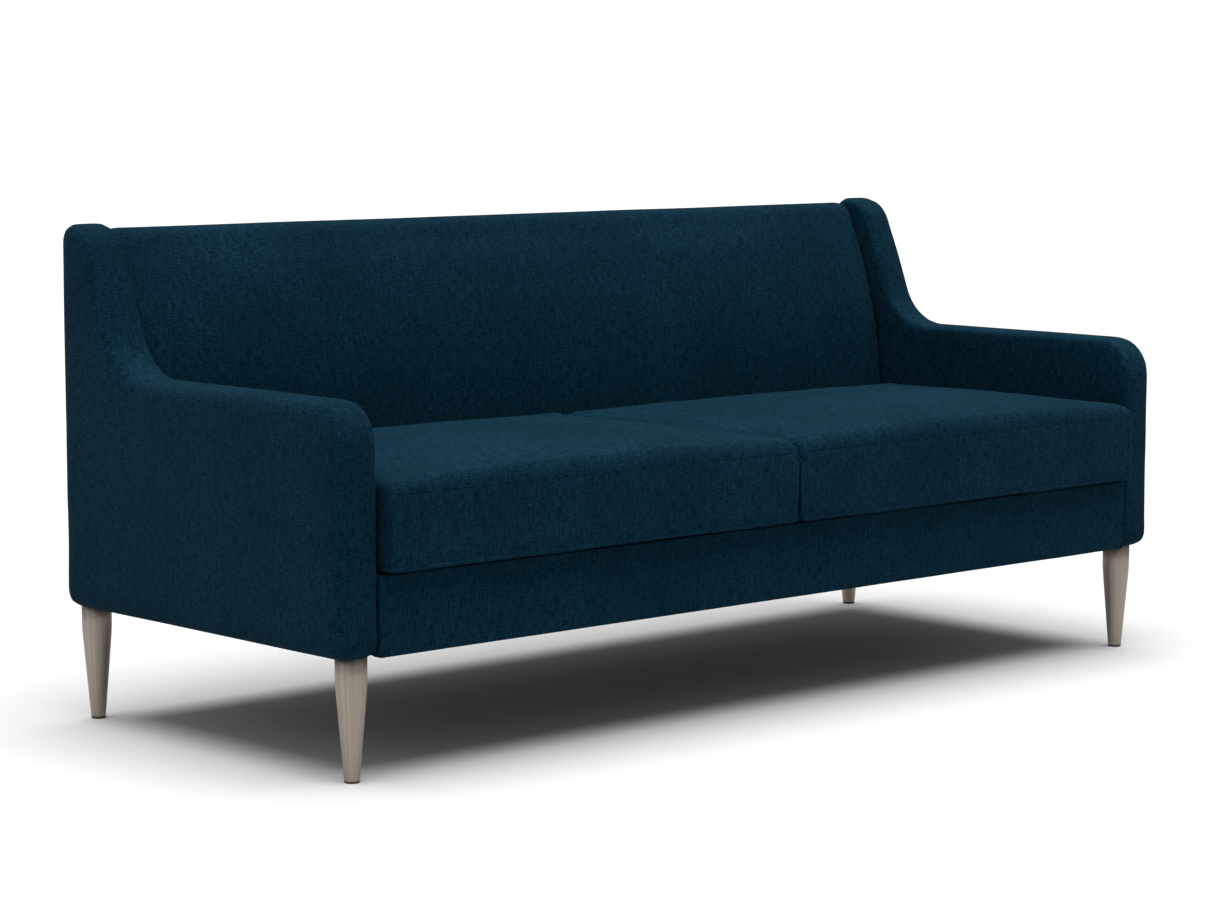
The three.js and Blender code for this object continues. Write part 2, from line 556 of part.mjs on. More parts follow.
function back() {
  const group = new THREE.Group();
  const cavityTop = BACK_TOP - BACK_TOP_PAD;
  const past = BACK_PAD;           // every cutter runs this far out of the pad
  const cavity = sidePlate(
    backSlice(BACK_BOTTOM - past, cavityTop, BACK_REAR_Y + past, BACK_PAD), 2 * CAVITY_X);
  const notchFront = PIVOT_Y - NOTCH_REACH;
  const notchTop = PIVOT_Z + NOTCH_RISE;
  const notchDepth = BACK_REAR_Y + past - notchFront;
  const notchHeight = notchTop - BACK_BOTTOM + past;
  const notchWidth = 2 * (ARM_INNER_X - HINGE_RAIL_X);
  const notches = sides.map(([, sign]) => boxTool(notchWidth, notchDepth, notchHeight,
    [sign * ARM_INNER_X, notchFront + notchDepth / 2, notchTop - notchHeight / 2]));
  group.add(part('back_pad',
    cut(sidePlate(backProfile(), 2 * BACK_X, BACK_EDGE_R), [cavity], ...notches), TEAL_LINEN));
  group.add(block('back_panel', TEAL_LINEN, [PANEL_GAP - HINGE_RAIL_X, HINGE_RAIL_X - PANEL_GAP],
    [PANEL_FRONT_Y, BACK_REAR_Y], [PIVOT_Z - PANEL_BELOW_PIN, cavityTop - FIT]));

  const gussetFoot = FRAME_BOTTOM + BACK_BOARD + FIT;
  const gussetHead = FRAME_TOP - TOP_RAIL_HEIGHT - FIT;
  const gusset = sidePlate(
    backSlice(gussetFoot, gussetHead, FRAME_REAR_Y, BACK_PAD + GUSSET_PAD_GAP), BACK_BOARD);
  const gussetX = FRAME_X - BACK_BOARD / 2;
  group.add(part('back_gusset_left', gusset, PLYWOOD, -gussetX));
  group.add(part('back_gusset_centre', gusset, PLYWOOD));
  group.add(part('back_gusset_right', gusset, PLYWOOD, gussetX));
  group.add(block('back_bottom_rail', PINE, [-FRAME_X, FRAME_X],
    [BACK_FRONT_Y + BACK_PAD + FRAME_PAD_GAP, FRAME_REAR_Y], [FRAME_BOTTOM, FRAME_BOTTOM + BACK_BOARD]));
  group.add(block('back_top_rail', PINE, [-FRAME_X, FRAME_X],
    [FRAME_REAR_Y - BACK_BOARD, FRAME_REAR_Y], [FRAME_TOP - TOP_RAIL_HEIGHT, FRAME_TOP]));

  for (const [level, share] of Object.entries(WEB_LEVELS)) {
    const z = gussetFoot + share * (gussetHead - gussetFoot);
    const web = block(`back_web_${level}`, BLACK_CLOTH, [-FRAME_X, FRAME_X],
      [-WEB_THICK / 2, WEB_THICK / 2], [-WEB_HEIGHT / 2, WEB_HEIGHT / 2]);
    web.position.set(0, bowY(z, BACK_PAD + GUSSET_PAD_GAP / 2), z);
    web.rotation.x = -Math.asin((z - BOW_Z) / BACK_BOW_R);
    group.add(web);
  }
  return group;
}

// ---- Back hinges -----------------------------------------------------------------------

// The fixed plate: a foot bolted to the side rail, rising to a round eye at the hinge pin.
function fixedPlateShape() {
  const footFront = PLATE_FOOT_INSET - HINGE_BAY_REACH;
  const footBottom = RAIL_BOTTOM - PIVOT_Z + PLATE_FOOT_RAISE;
  const shape = polygon([
    [footFront, footBottom], [FIXED_DISC_R, footBottom], [FIXED_DISC_R, 0],
  ]);
  shape.absarc(0, 0, FIXED_DISC_R, 0, Math.PI, false);
  shape.lineTo(-FIXED_DISC_R, -PLATE_NECK);
  shape.lineTo(footFront, footBottom + PLATE_FOOT_HEIGHT);
  return shape;
}

// The moving plate: a ratchet disc with three stops under a strap that runs up the back.
function leverShape() {
  const neck = Math.acos(LEVER_WIDTH / 2 / RATCHET_R);
  const tip = LEVER_LENGTH + LEVER_TIP;
  const points = [[LEVER_WIDTH / 2, LEVER_LENGTH], [LEVER_WIDTH / 4, tip],
    [-LEVER_WIDTH / 4, tip], [-LEVER_WIDTH / 2, LEVER_LENGTH]];
  const steps = 48;
  for (let i = 0; i <= steps; i += 1) {
    const angle = Math.PI - neck + (Math.PI + 2 * neck) * (i / steps);
    const degrees = angle / DEG - 360;
    const toStop = Math.min(...RATCHET_STOPS.map((stop) => Math.abs(degrees - stop)));
    const radius = RATCHET_R - Math.max(0, TOOTH_DEPTH * (1 - toStop / TOOTH_HALF));
    points.push([radius * Math.cos(angle), radius * Math.sin(angle)]);
  }
  return polygon(points);
}

// The pawl: a round boss at its pin, tapering to a tooth that points at the ratchet.
function pawlShape() {
  const reach = { y: PAWL_TIP.y - PAWL_PIVOT.y, z: PAWL_TIP.z - PAWL_PIVOT.z };
  const heading = Math.atan2(reach.z, reach.y);
  const shape = new THREE.Shape();
  shape.moveTo(reach.y, reach.z);
  shape.absarc(0, 0, PAWL_R, heading + 0.45 * Math.PI, heading + 1.6 * Math.PI, false);
  shape.lineTo(reach.y + PAWL_TOOTH.y, reach.z + PAWL_TOOTH.z);
  return shape;
}

function pawlSpring() {
  const steps = Math.round(12 * PAWL_SPRING_TURNS);
  const points = [];
  for (let i = 0; i <= steps; i += 1) {
    const turn = PAWL_SPRING_TURNS * (i / steps);
    points.push(new THREE.Vector3(PAWL_SPRING_PITCH * turn,
      PAWL_SPRING_R * Math.cos(2 * Math.PI * turn), PAWL_SPRING_R * Math.sin(2 * Math.PI * turn)));
  }
  const wire = polygon([0, 1, 2, 3, 4].map((i) => [
    PAWL_SPRING_WIRE_R * Math.cos(0.4 * Math.PI * i),
    PAWL_SPRING_WIRE_R * Math.sin(0.4 * Math.PI * i),
  ]));
  return new THREE.ExtrudeGeometry(wire,
    { steps, extrudePath: new THREE.CatmullRomCurve3(points) });
}

// A headed pin along X: shank from the inner collar out through both plates.
function headedPin(radius, headR, collarR, collar, shank, head) {
  return pinAlongX([
    [0, 0], [collarR, 0], [collarR, collar], [radius, collar], [radius, collar + shank],
    [headR, collar + shank], [headR, collar + shank + head], [0, collar + shank + head],
  ], 14);
}

function hinges() {
  const group = new THREE.Group();
  const plateX = HINGE_RAIL_X + FIT + PLATE / 2;
  const eye = (radius, y, z) => [new THREE.CylinderGeometry(radius, radius, 40, 14)
    .rotateZ(Math.PI / 2), [0, y, z]];
  const fixedPlate = cut(sidePlate(fixedPlateShape(), PLATE, 0, 6),
    eye(PIN_R + FIT, 0, 0), eye(PAWL_PIN_R + FIT, PAWL_PIVOT.y, PAWL_PIVOT.z));
  const lever = cut(sidePlate(leverShape(), LEVER), eye(PIN_R + FIT, 0, 0));
  const pawl = cut(sidePlate(pawlShape(), LEVER, 0, 5), eye(PAWL_PIN_R + FIT, 0, 0));
  const stack = PLATE + LEVER + 4 * FIT;
  const hingePin = headedPin(PIN_R, PIN_HEAD_R, PIN_R + PIN_COLLAR_RIM, PIN_COLLAR, stack, PIN_HEAD);
  const pawlPin = headedPin(PAWL_PIN_R, PAWL_PIN_HEAD_R, PAWL_PIN_R, FIT,
    stack + PAWL_SPRING_ROOM, PAWL_PIN_HEAD);
  const spring = pawlSpring();
  for (const [side, sign] of sides) {
    const hinge = new THREE.Group();
    hinge.position.set(0, PIVOT_Y, PIVOT_Z);
    const outwards = new THREE.Euler(0, 0, sign < 0 ? Math.PI : 0);
    const pinX = sign * (HINGE_RAIL_X - PIN_COLLAR);
    const place = (name, geometry, material, x, y, z, turn) => {
      const mesh = part(`${name}_${side}`, geometry, material, x, y, z);
      if (turn) mesh.rotation.copy(outwards);
      hinge.add(mesh);
    };
    const { y, z } = PAWL_PIVOT;
    place('hinge_plate', fixedPlate, ZINC_STEEL, sign * plateX, 0, 0);
    place('hinge_pin', hingePin, ZINC_STEEL, pinX, 0, 0, true);
    place('hinge_lever', lever, ZINC_STEEL, sign * LEVER_X, 0, 0);
    place('pawl', pawl, ZINC_STEEL, sign * LEVER_X, y, z);
    place('pawl_pin', pawlPin, ZINC_STEEL, sign * HINGE_RAIL_X, y, z, true);
    place('pawl_spring', spring, SPRING_STEEL,
      sign * (LEVER_X + LEVER / 2 + FIT + PAWL_SPRING_WIRE_R), y, z, true);
    group.add(hinge);
  }
  return group;
}

// ---- The sofa --------------------------------------------------------------------------

const sofa = new THREE.Group();
sofa.add(arms(), legs(), seatPlatform(), seatCushions(), back(), hinges());
sofa.updateMatrixWorld(true);

export default sofa;
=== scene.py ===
# Looks for a futon sofa bed: linen upholstery, brushed legs, hinge hardware and the frame inside.
# Metres, +Z up, front towards -Y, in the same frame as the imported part.

import math

import bpy
import numpy as np
from mathutils import Euler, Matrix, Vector, noise
from mathutils.bvhtree import BVHTree
from mathutils.kdtree import KDTree


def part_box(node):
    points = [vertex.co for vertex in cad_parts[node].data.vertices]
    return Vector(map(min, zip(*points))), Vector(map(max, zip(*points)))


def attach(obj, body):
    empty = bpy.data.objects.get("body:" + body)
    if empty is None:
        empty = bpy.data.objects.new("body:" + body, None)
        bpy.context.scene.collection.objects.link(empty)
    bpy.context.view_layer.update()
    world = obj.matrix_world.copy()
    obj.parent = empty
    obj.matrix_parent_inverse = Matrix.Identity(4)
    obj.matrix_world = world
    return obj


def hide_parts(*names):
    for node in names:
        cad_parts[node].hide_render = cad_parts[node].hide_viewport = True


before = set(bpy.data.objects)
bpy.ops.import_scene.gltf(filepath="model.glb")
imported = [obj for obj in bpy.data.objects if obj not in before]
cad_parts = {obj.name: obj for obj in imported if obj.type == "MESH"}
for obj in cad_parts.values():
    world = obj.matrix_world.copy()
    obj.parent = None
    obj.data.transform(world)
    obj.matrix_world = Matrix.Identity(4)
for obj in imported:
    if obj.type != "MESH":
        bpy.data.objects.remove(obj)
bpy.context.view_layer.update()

MM = 0.001
SIDES = (("left", -1), ("right", 1))     # name, sign of x
ENDS = ("front", "rear")

# ---- Upholstery sizes ---------------------------------------------------------------

ARM_HEIGHT = 392 * MM        # arm top above its underside
ARM_FRONT_R = 70 * MM
ARM_CORNER_R = 26 * MM
ARM_OUTER_EDGE_R = 20 * MM   # the arm's long edges: soft outside, crisp beside the seat
ARM_INNER_EDGE_R = 8 * MM
WING_FOOT_R = 106 * MM
WING_HEAD_R = 68 * MM
WING_SLOPE = 66.4            # degrees
WING_REAR_R = 28 * MM

SEAT_END_H = 142 * MM        # cushion height at its ends, before it swells
SEAT_CROWN = 19 * MM         # extra height in the middle, before it swells
SEAT_TOP_R = 24 * MM         # top corners seen from the front
SEAT_FOOT_R = 6 * MM         # bottom corners seen from the front
SEAT_ROLL_R = 25 * MM        # roll from the top onto the front
SEAT_EDGE_R = 6 * MM
CROWN_SHARPNESS = 2.2        # how late the crown falls off towards the ends
CROWN_FRONT_FALL = 0.36      # shares of the crown lost at the front and the rear
CROWN_REAR_FALL = 1.1
SEAT_END_BULGE = 2 * MM      # the ends are widest half way up
SEAM_BELOW_TOP = 22 * MM
SEAM_ABOVE_FOOT = 11 * MM
SEAM_FROM_END = 4 * MM
SEAM_DEPTH = 1.4 * MM        # how far a seam draws the cloth in, and over what width
SEAM_WIDTH = 4.5 * MM
SEAM_FOLD_R = 0.9 * MM
SEAM_STEP = 6 * MM

BACK_TOP_DEPTH = 40.3 * MM   # depth left at the top of the bowed back
BACK_BOW_START = 78 * MM     # above the seat deck
BACK_TOP_R = 34 * MM
BACK_TOE_R = 9 * MM
BACK_EDGE_R = 7 * MM
PIN_REACH = 32 * MM          # hinge pin to the back's rear face and lower edge
HINGE_SLOT = 19.8 * MM       # open lower corners of the back, for the hinge plates
SLOT_REACH = 45 * MM
SLOT_RISE = 28 * MM

CLOTH_STEPS = 20             # frames of simulation before the cloth has settled
MOST_SINK = 2 * MM           # how far swelling cloth may draw its edges in
MOST_SLIDE = 2 * MM

WEAVE = "weave"              # UV map, in metres, that every fabric and turned piece carries
WEAVE_WAVE = 1.5 * MM        # two threads of the weave
TURNED_SEGMENTS = 64
WRAP_R = 20 * MM             # a turned piece's UV map is measured round at this radius


# ---- Mesh helpers ---------------------------------------------------------------------

def new_piece(name, points, faces, smooth=True):
    mesh = bpy.data.meshes.new(name)
    mesh.from_pydata([tuple(p) for p in points], [], faces)
    mesh.validate()
    mesh.update()
    piece = bpy.data.objects.new(name, mesh)
    bpy.context.scene.collection.objects.link(piece)
    for polygon in mesh.polygons:
        polygon.use_smooth = smooth
    return piece


def points_of(mesh):
    flat = np.empty(3 * len(mesh.vertices))
    mesh.vertices.foreach_get("co", flat)
    return flat.reshape(-1, 3)


def set_points(mesh, points):
    mesh.vertices.foreach_set("co", np.ascontiguousarray(points).ravel())
    mesh.update()


def normals_of(mesh):
    flat = np.empty(3 * len(mesh.vertices))
    mesh.vertex_normals.foreach_get("vector", flat)
    return flat.reshape(-1, 3)


def face_outwards(piece):
    """Turns every face outwards, judged by the sign of the closed mesh's volume."""
    mesh = piece.data
    mesh.calc_loop_triangles()
    points = points_of(mesh)
    corners = np.array([t.vertices for t in mesh.loop_triangles])
    a, b, c = (points[corners[:, i]] for i in range(3))
    if np.einsum("ij,ij->i", a, np.cross(b, c)).sum() < 0:
        mesh.flip_normals()
    return piece


def loft(name, rings, ends_closed=True):
    """A skin over rings of points, each ring a closed loop of the same length."""
    rings = np.asarray(rings, float)
    count, around = rings.shape[:2]
    faces = [
        (i * around + j, i * around + (j + 1) % around,
         (i + 1) * around + (j + 1) % around, (i + 1) * around + j)
        for i in range(count - 1) for j in range(around)
    ]
    if ends_closed:
        faces.append(tuple(reversed(range(around))))
        faces.append(tuple(range((count - 1) * around, count * around)))
    return face_outwards(new_piece(name, rings.reshape(-1, 3), faces))


def settled(piece):
    """Replaces the piece's mesh by what its modifiers make of it."""
    depsgraph = bpy.context.evaluated_depsgraph_get()
    mesh = bpy.data.meshes.new_from_object(piece.evaluated_get(depsgraph), depsgraph=depsgraph)
    old = piece.data
    piece.modifiers.clear()
    piece.data = mesh
    bpy.data.meshes.remove(old)
    for polygon in mesh.polygons:
        polygon.use_smooth = True
    return piece


def modify(piece, kind, **settings):
    modifier = piece.modifiers.new(kind.lower(), kind)
    for key, value in settings.items():
        setattr(modifier, key, value)
    return modifier


def mirror_twin(piece, name):
    """The left-hand twin of a right-hand piece, or the other way round."""
    twin = bpy.data.objects.new(name, piece.data.copy())
    bpy.context.scene.collection.objects.link(twin)
    set_points(twin.data, points_of(twin.data) * (-1, 1, 1))
    return face_outwards(twin)


def joined(name, pieces):
    """Makes one mesh of several."""
    points, faces = [], []
    for piece in pieces:
        start = len(points)
        points += [tuple(p) for p in points_of(piece.data)]
        faces += [tuple(start + i for i in f.vertices) for f in piece.data.polygons]
        bpy.data.objects.remove(piece)
    return new_piece(name, points, faces)


def remeshed(piece, voxel):
    """Gives a lofted piece an even mesh that cloth can move on."""
    modify(piece, "REMESH", mode="VOXEL", voxel_size=voxel, use_smooth_shade=True)
    modify(piece, "SMOOTH", factor=0.5, iterations=3)
    return settled(piece)


def subdivided(piece):
    """Refines a piece by one level of subdivision."""
    modify(piece, "SUBSURF", levels=1, render_levels=1)
    return settled(piece)


def arc(y, z, radius, start, end, steps):
    """Points (y, z) on an arc, between angles in degrees from +Y towards +Z."""
    angles = np.radians(np.linspace(start, end, steps + 1))
    return np.stack([y + radius * np.cos(angles), z + radius * np.sin(angles)], axis=1)


def upright(x, outline):
    """A side view's (y, z) points stood up at one x."""
    return np.column_stack([np.full(len(outline), x), outline])


def edge_stations(half, radius):
    """Stations (x, inset) from a slab's face round its quarter-round edge."""
    angles = np.radians(np.linspace(0, 90, 7))
    curve = [(half - radius + radius * math.cos(a), radius * (1 - math.sin(a))) for a in angles]
    return [(half, 1.3 * radius)] + curve


def thickness_stations(half, right_edge, left_edge):
    """Stations from a slab's right face to its left one, each edge with its own radius."""
    far_side = reversed(edge_stations(half, left_edge))
    return edge_stations(half, right_edge) + [(-x, inset) for x, inset in far_side]


def grid_lines(length, radius, cell, rim=3):
    """Lines from -1 to 1 across a side: even cells between rounded rims with finer ones."""
    edge = 2 * radius / length
    bend = edge * np.linspace(0, 1, rim + 1)[:-1]
    count = max(1, round((length - 2 * radius) / cell))
    return np.concatenate([bend - 1, np.linspace(edge - 1, 1 - edge, count + 1), 1 - bend[::-1]])


def rounded_block(name, low, high, radius, crown=0.0, cell=12 * MM):
    """A box with rounded edges whose top may be crowned."""
    low, high = np.array(low), np.array(high)
    piece = cube_grid(name, [grid_lines(size, radius, cell) for size in high - low])
    points = points_of(piece.data)
    half = (high - low) / 2
    core = np.clip(points * half, -(half - radius), half - radius)
    away = points * half - core
    length = np.maximum(np.linalg.norm(away, axis=1, keepdims=True), 1e-9)
    swell = crown * (1 - points[:, 0] ** 2) * (1 - points[:, 1] ** 2) * (points[:, 2] > 0.99)
    points = core + away / length * radius + (low + high) / 2
    points[:, 2] += swell
    set_points(piece.data, points)
    return piece


def cube_grid(name, lines):
    """A cube from -1 to 1, gridded by lines along x, y and z, with shared points on its edges."""
    index, points, faces = {}, [], []

    def corner(p):
        key = tuple(round(c, 6) for c in p)
        if key not in index:
            index[key] = len(points)
            points.append(key)
        return index[key]

    for axis in range(3):
        u, v = (axis + 1) % 3, (axis + 2) % 3
        for side in (-1.0, 1.0):
            for i in range(len(lines[u]) - 1):
                for j in range(len(lines[v]) - 1):
                    loop = []
                    for du, dv in ((0, 0), (1, 0), (1, 1), (0, 1)):
                        p = [0.0] * 3
                        p[axis], p[u], p[v] = side, lines[u][i + du], lines[v][j + dv]
                        loop.append(corner(p))
                    faces.append(tuple(loop if side > 0 else reversed(loop)))
    return new_piece(name, points, faces)


def turned(name, x, y, profile):
    """A turned piece on a vertical axis, from (radius, height) points, foot first."""
    angles = np.linspace(0, 2 * math.pi, TURNED_SEGMENTS, endpoint=False)
    rings = [
        np.column_stack([x + r * np.cos(angles), y + r * np.sin(angles),
                         np.full(TURNED_SEGMENTS, z)])
        for r, z in profile
    ]
    piece = loft(name, rings)
    wrap_uv(piece, x, y)
    return piece


def looped_tube(name, path, radius):
    """A thin six-sided tube along a closed path of points."""
    ahead = np.roll(path, -1, axis=0) - np.roll(path, 1, axis=0)
    ahead /= np.linalg.norm(ahead, axis=1, keepdims=True)
    up = np.where(np.abs(ahead[:, 2:3]) > 0.9, (1.0, 0, 0), (0, 0, 1.0))
    side = np.cross(ahead, up)
    side /= np.linalg.norm(side, axis=1, keepdims=True)
    lift = np.cross(side, ahead)
    angles = np.linspace(0, 2 * math.pi, 6, endpoint=False)
    rings = path[:, None] + radius * (np.cos(angles)[None, :, None] * side[:, None]
                                      + np.sin(angles)[None, :, None] * lift[:, None])
    piece = loft(name, np.concatenate([rings, rings[:1]]), ends_closed=False)
    modify(piece, "WELD", merge_threshold=1e-5)
    return face_outwards(settled(piece))


def weave_uv(piece):
    """Lays the cloth on: each face takes the two of x, y and z that it lies along."""
    mesh = piece.data
    layer = mesh.uv_layers.get(WEAVE) or mesh.uv_layers.new(name=WEAVE)
    points = points_of(mesh)
    corners = np.empty(len(mesh.loops), int)
    mesh.loops.foreach_get("vertex_index", corners)
    totals = np.empty(len(mesh.polygons), int)
    mesh.polygons.foreach_get("loop_total", totals)
    flat = np.empty(3 * len(mesh.polygons))
    mesh.polygons.foreach_get("normal", flat)
    facing = np.repeat(np.argmax(np.abs(flat.reshape(-1, 3)), axis=1), totals)
    across = np.array([1, 0, 0])[facing]
    upward = np.array([2, 2, 1])[facing]
    place = points[corners]
    rows = np.arange(len(corners))
    uv = np.column_stack([place[rows, across], place[rows, upward]])
    layer.data.foreach_set("uv", uv.ravel())
    return piece


def wrap_uv(piece, x, y):
    """Unrolls a turned piece: u runs round its axis and v up it, both in metres."""
    mesh = piece.data
    layer = mesh.uv_layers.new(name=WEAVE)
    points = points_of(mesh)
    for polygon in mesh.polygons:
        turns = []
        for loop in polygon.loop_indices:
            px, py, _ = points[mesh.loops[loop].vertex_index]
            turns.append(math.atan2(py - y, px - x))
        if max(turns) - min(turns) > math.pi:
            turns = [t + 2 * math.pi if t < 0 else t for t in turns]
        for loop, turn in zip(polygon.loop_indices, turns):
            height = points[mesh.loops[loop].vertex_index][2]
            layer.data[loop].uv = (turn * WRAP_R, height)


# ---- Swelling, seams and cloth ---------------------------------------------------------

def evened(mesh, values, rounds):
    """Evens out values held per point over their neighbours."""
    pairs = np.empty(2 * len(mesh.edges), int)
    mesh.edges.foreach_get("vertices", pairs)
    first, second = pairs.reshape(-1, 2).T
    size = len(values)
    shared = np.bincount(pairs, minlength=size)[:, None]
    for _ in range(rounds):
        total = np.column_stack([
            np.bincount(first, way[second], size) + np.bincount(second, way[first], size)
            for way in values.T])
        values = (values + total / shared) / 2
    return values


def softly_limited(amount, limit):
    """Holds an amount within a limit that it nears gradually."""
    return limit * np.tanh(amount / limit)


def inflate(piece, pressure, reach, held, rounds=6):
    """Swells the cloth under pressure. reach gives how far each point may rise, held which stay.

    No point sinks or slides further than its limit, and the movement is evened out over some
    rounds of neighbours."""
    mesh = piece.data
    rest, outwards = points_of(mesh), normals_of(mesh)
    group = piece.vertex_groups.new(name="held")
    group.add([int(i) for i in np.nonzero(held(rest, outwards))[0]], 1.0, "REPLACE")
    cloth = piece.modifiers.new("swell", "CLOTH")
    settings = cloth.settings
    settings.quality = 5
    settings.mass = 0.3
    settings.tension_stiffness = settings.compression_stiffness = 12
    settings.shear_stiffness = 4
    settings.bending_stiffness = 0.4
    settings.use_pressure = True
    settings.uniform_pressure_force = pressure
    settings.vertex_group_mass = "held"
    settings.effector_weights.gravity = 0
    cloth.collision_settings.use_collision = False
    scene = bpy.context.scene
    for step in range(1, CLOTH_STEPS + 1):
        scene.frame_set(step)
    depsgraph = bpy.context.evaluated_depsgraph_get()
    swollen = points_of(piece.evaluated_get(depsgraph).data)
    piece.modifiers.clear()
    piece.vertex_groups.clear()
    scene.frame_set(1)
    move = swollen - rest
    rise = np.einsum("ij,ij->i", move, outwards)
    slide = move - rise[:, None] * outwards
    slid = np.maximum(np.linalg.norm(slide, axis=1), 1e-9)
    limit = np.where(rise > 0, np.maximum(reach(rest, outwards), 1e-6), MOST_SINK)
    slide_share = softly_limited(slid, MOST_SLIDE) / slid
    move = outwards * softly_limited(rise, limit)[:, None] + slide * slide_share[:, None]
    move = evened(mesh, move, rounds)
    move[held(rest, outwards)] = 0
    set_points(mesh, rest + move)
    return piece


def undulate(piece, height, size, seed):
    """Gives stretched cloth its slight unevenness, with hollows of about one size."""
    mesh = piece.data
    points, outwards = points_of(mesh), normals_of(mesh)
    shift = Vector((seed, 2 * seed, -seed))
    waves = np.array([noise.noise(Vector(p) / size + shift) for p in points])
    set_points(mesh, points + outwards * (height * waves)[:, None])
    return piece


def surface_of(piece):
    """A tree of the piece's faces, for casting rays at."""
    return BVHTree.FromPolygons([Vector(p) for p in points_of(piece.data)],
                                [tuple(f.vertices) for f in piece.data.polygons])


def ring_on(piece, axis, level):
    """The line round the outside of a box-shaped piece, square to one axis at a level on it."""
    points = points_of(piece.data)
    u, v = [way for way in range(3) if way != axis]
    low, high = points.min(axis=0), points.max(axis=0)
    corners = [(low[u], low[v]), (high[u], low[v]), (high[u], high[v]), (low[u], high[v])]
    tree = surface_of(piece)
    middle = Vector((low + high) / 2)
    middle[axis] = level
    path = []
    for (u0, v0), (u1, v1) in zip(corners, corners[1:] + corners[:1]):
        count = int(max(abs(u1 - u0), abs(v1 - v0)) / SEAM_STEP)
        for share in np.arange(count) / count:
            outside = middle.copy()
            outside[u], outside[v] = u0 + (u1 - u0) * share, v0 + (v1 - v0) * share
            inwards = middle - outside
            hit = tree.ray_cast(outside - 0.1 * inwards, inwards.normalized())[0]
            if hit:
                path.append(tuple(hit))
    path = np.array(path)
    for _ in range(3):
        path = (np.roll(path, 1, axis=0) + 2 * path + np.roll(path, -1, axis=0)) / 4
    return path


def pull_in(piece, path):
    """Draws the cloth in along a seam."""
    tree = KDTree(len(path))
    for i, point in enumerate(path):
        tree.insert(point, i)
    tree.balance()
    points, outwards = points_of(piece.data), normals_of(piece.data)
    away = np.array([tree.find(p)[2] for p in points])
    sink = SEAM_DEPTH * np.exp(-(away / SEAM_WIDTH) ** 2)
    set_points(piece.data, points - outwards * sink[:, None])


def seam(name, piece, axis, level, body, finish):
    """A plain sewn seam round a cushion: the cloth draws in and its folded edge shows."""
    pull_in(piece, ring_on(piece, axis, level))
    fold = looped_tube(name, ring_on(piece, axis, level), SEAM_FOLD_R)
    dress(fold, body, finish)


# ---- Materials ---------------------------------------------------------------------------

class Value:
    """One value in a material. Arithmetic on it adds Math nodes."""

    def __init__(self, finish, socket):
        self.finish, self.socket = finish, socket

    def math(self, operation, *values):
        return self.finish.node("ShaderNodeMath", {"operation": operation}, dict(enumerate(values)))

    def __add__(self, other):
        return self.math("ADD", self, other)

    def __radd__(self, other):
        return self.math("ADD", other, self)

    def __sub__(self, other):
        return self.math("SUBTRACT", self, other)

    def __rsub__(self, other):
        return self.math("SUBTRACT", other, self)

    def __mul__(self, other):
        return self.math("MULTIPLY", self, other)

    def __rmul__(self, other):
        return self.math("MULTIPLY", other, self)

    def __pow__(self, other):
        return self.math("POWER", self, other)

    def sine(self):
        return self.math("SINE", self)

    def clamped(self):
        return self.finish.node("ShaderNodeClamp", {}, {0: self})


class Finish:
    """A material: its Principled shader, and one method that adds any other node."""

    def __init__(self, name, **constants):
        self.material = bpy.data.materials.new(name)
        self.material.use_nodes = True
        self.tree = self.material.node_tree
        self.shader = self.tree.nodes["Principled BSDF"]
        for socket, value in constants.items():
            self.shader.inputs[socket.replace("_", " ")].default_value = value

    def node(self, kind, settings=None, sockets=None, output=0):
        made = self.tree.nodes.new(kind)
        for key, value in (settings or {}).items():
            setattr(made, key, value)
        for key, value in (sockets or {}).items():
            self.join(made.inputs[key], value)
        return Value(self, made.outputs[output])

    def join(self, socket, value):
        """Links a value to a socket, or sets a number or colour on it."""
        if isinstance(value, Value):
            self.tree.links.new(value.socket, socket)
        elif hasattr(value, "__len__") and len(value) == 3 and socket.type == "RGBA":
            socket.default_value = (*value, 1)
        else:
            socket.default_value = value

    def feed(self, **sockets):
        for name, value in sockets.items():
            self.join(self.shader.inputs[name.replace("_", " ")], value)

    def place(self):
        """Where a point lies on the piece, in metres."""
        return self.node("ShaderNodeTexCoord", {}, {}, "Object")

    def spread(self, vector):
        """The three numbers of a vector."""
        split = self.tree.nodes.new("ShaderNodeSeparateXYZ")
        self.tree.links.new(vector.socket, split.inputs[0])
        return [Value(self, out) for out in split.outputs]

    def cloth_place(self):
        """Where a point lies on the flat cloth, in metres."""
        return self.spread(self.node("ShaderNodeUVMap", {"uv_map": WEAVE}))[:2]

    def gather(self, x, y, z):
        return self.node("ShaderNodeCombineXYZ", {}, {0: x, 1: y, 2: z})

    def noise(self, where, scale=1.0, detail=2.0, roughness=0.5):
        return self.node("ShaderNodeTexNoise", {}, {
            "Vector": where, "Scale": scale, "Detail": detail, "Roughness": roughness})

    def mix(self, share, first, second):
        return self.node("ShaderNodeMix", {"data_type": "RGBA"},
                         {"Factor": share, 6: first, 7: second}, 2)

    def bump(self, height, distance, strength):
        return self.node("ShaderNodeBump", {}, {
            "Height": height, "Distance": distance, "Strength": strength})


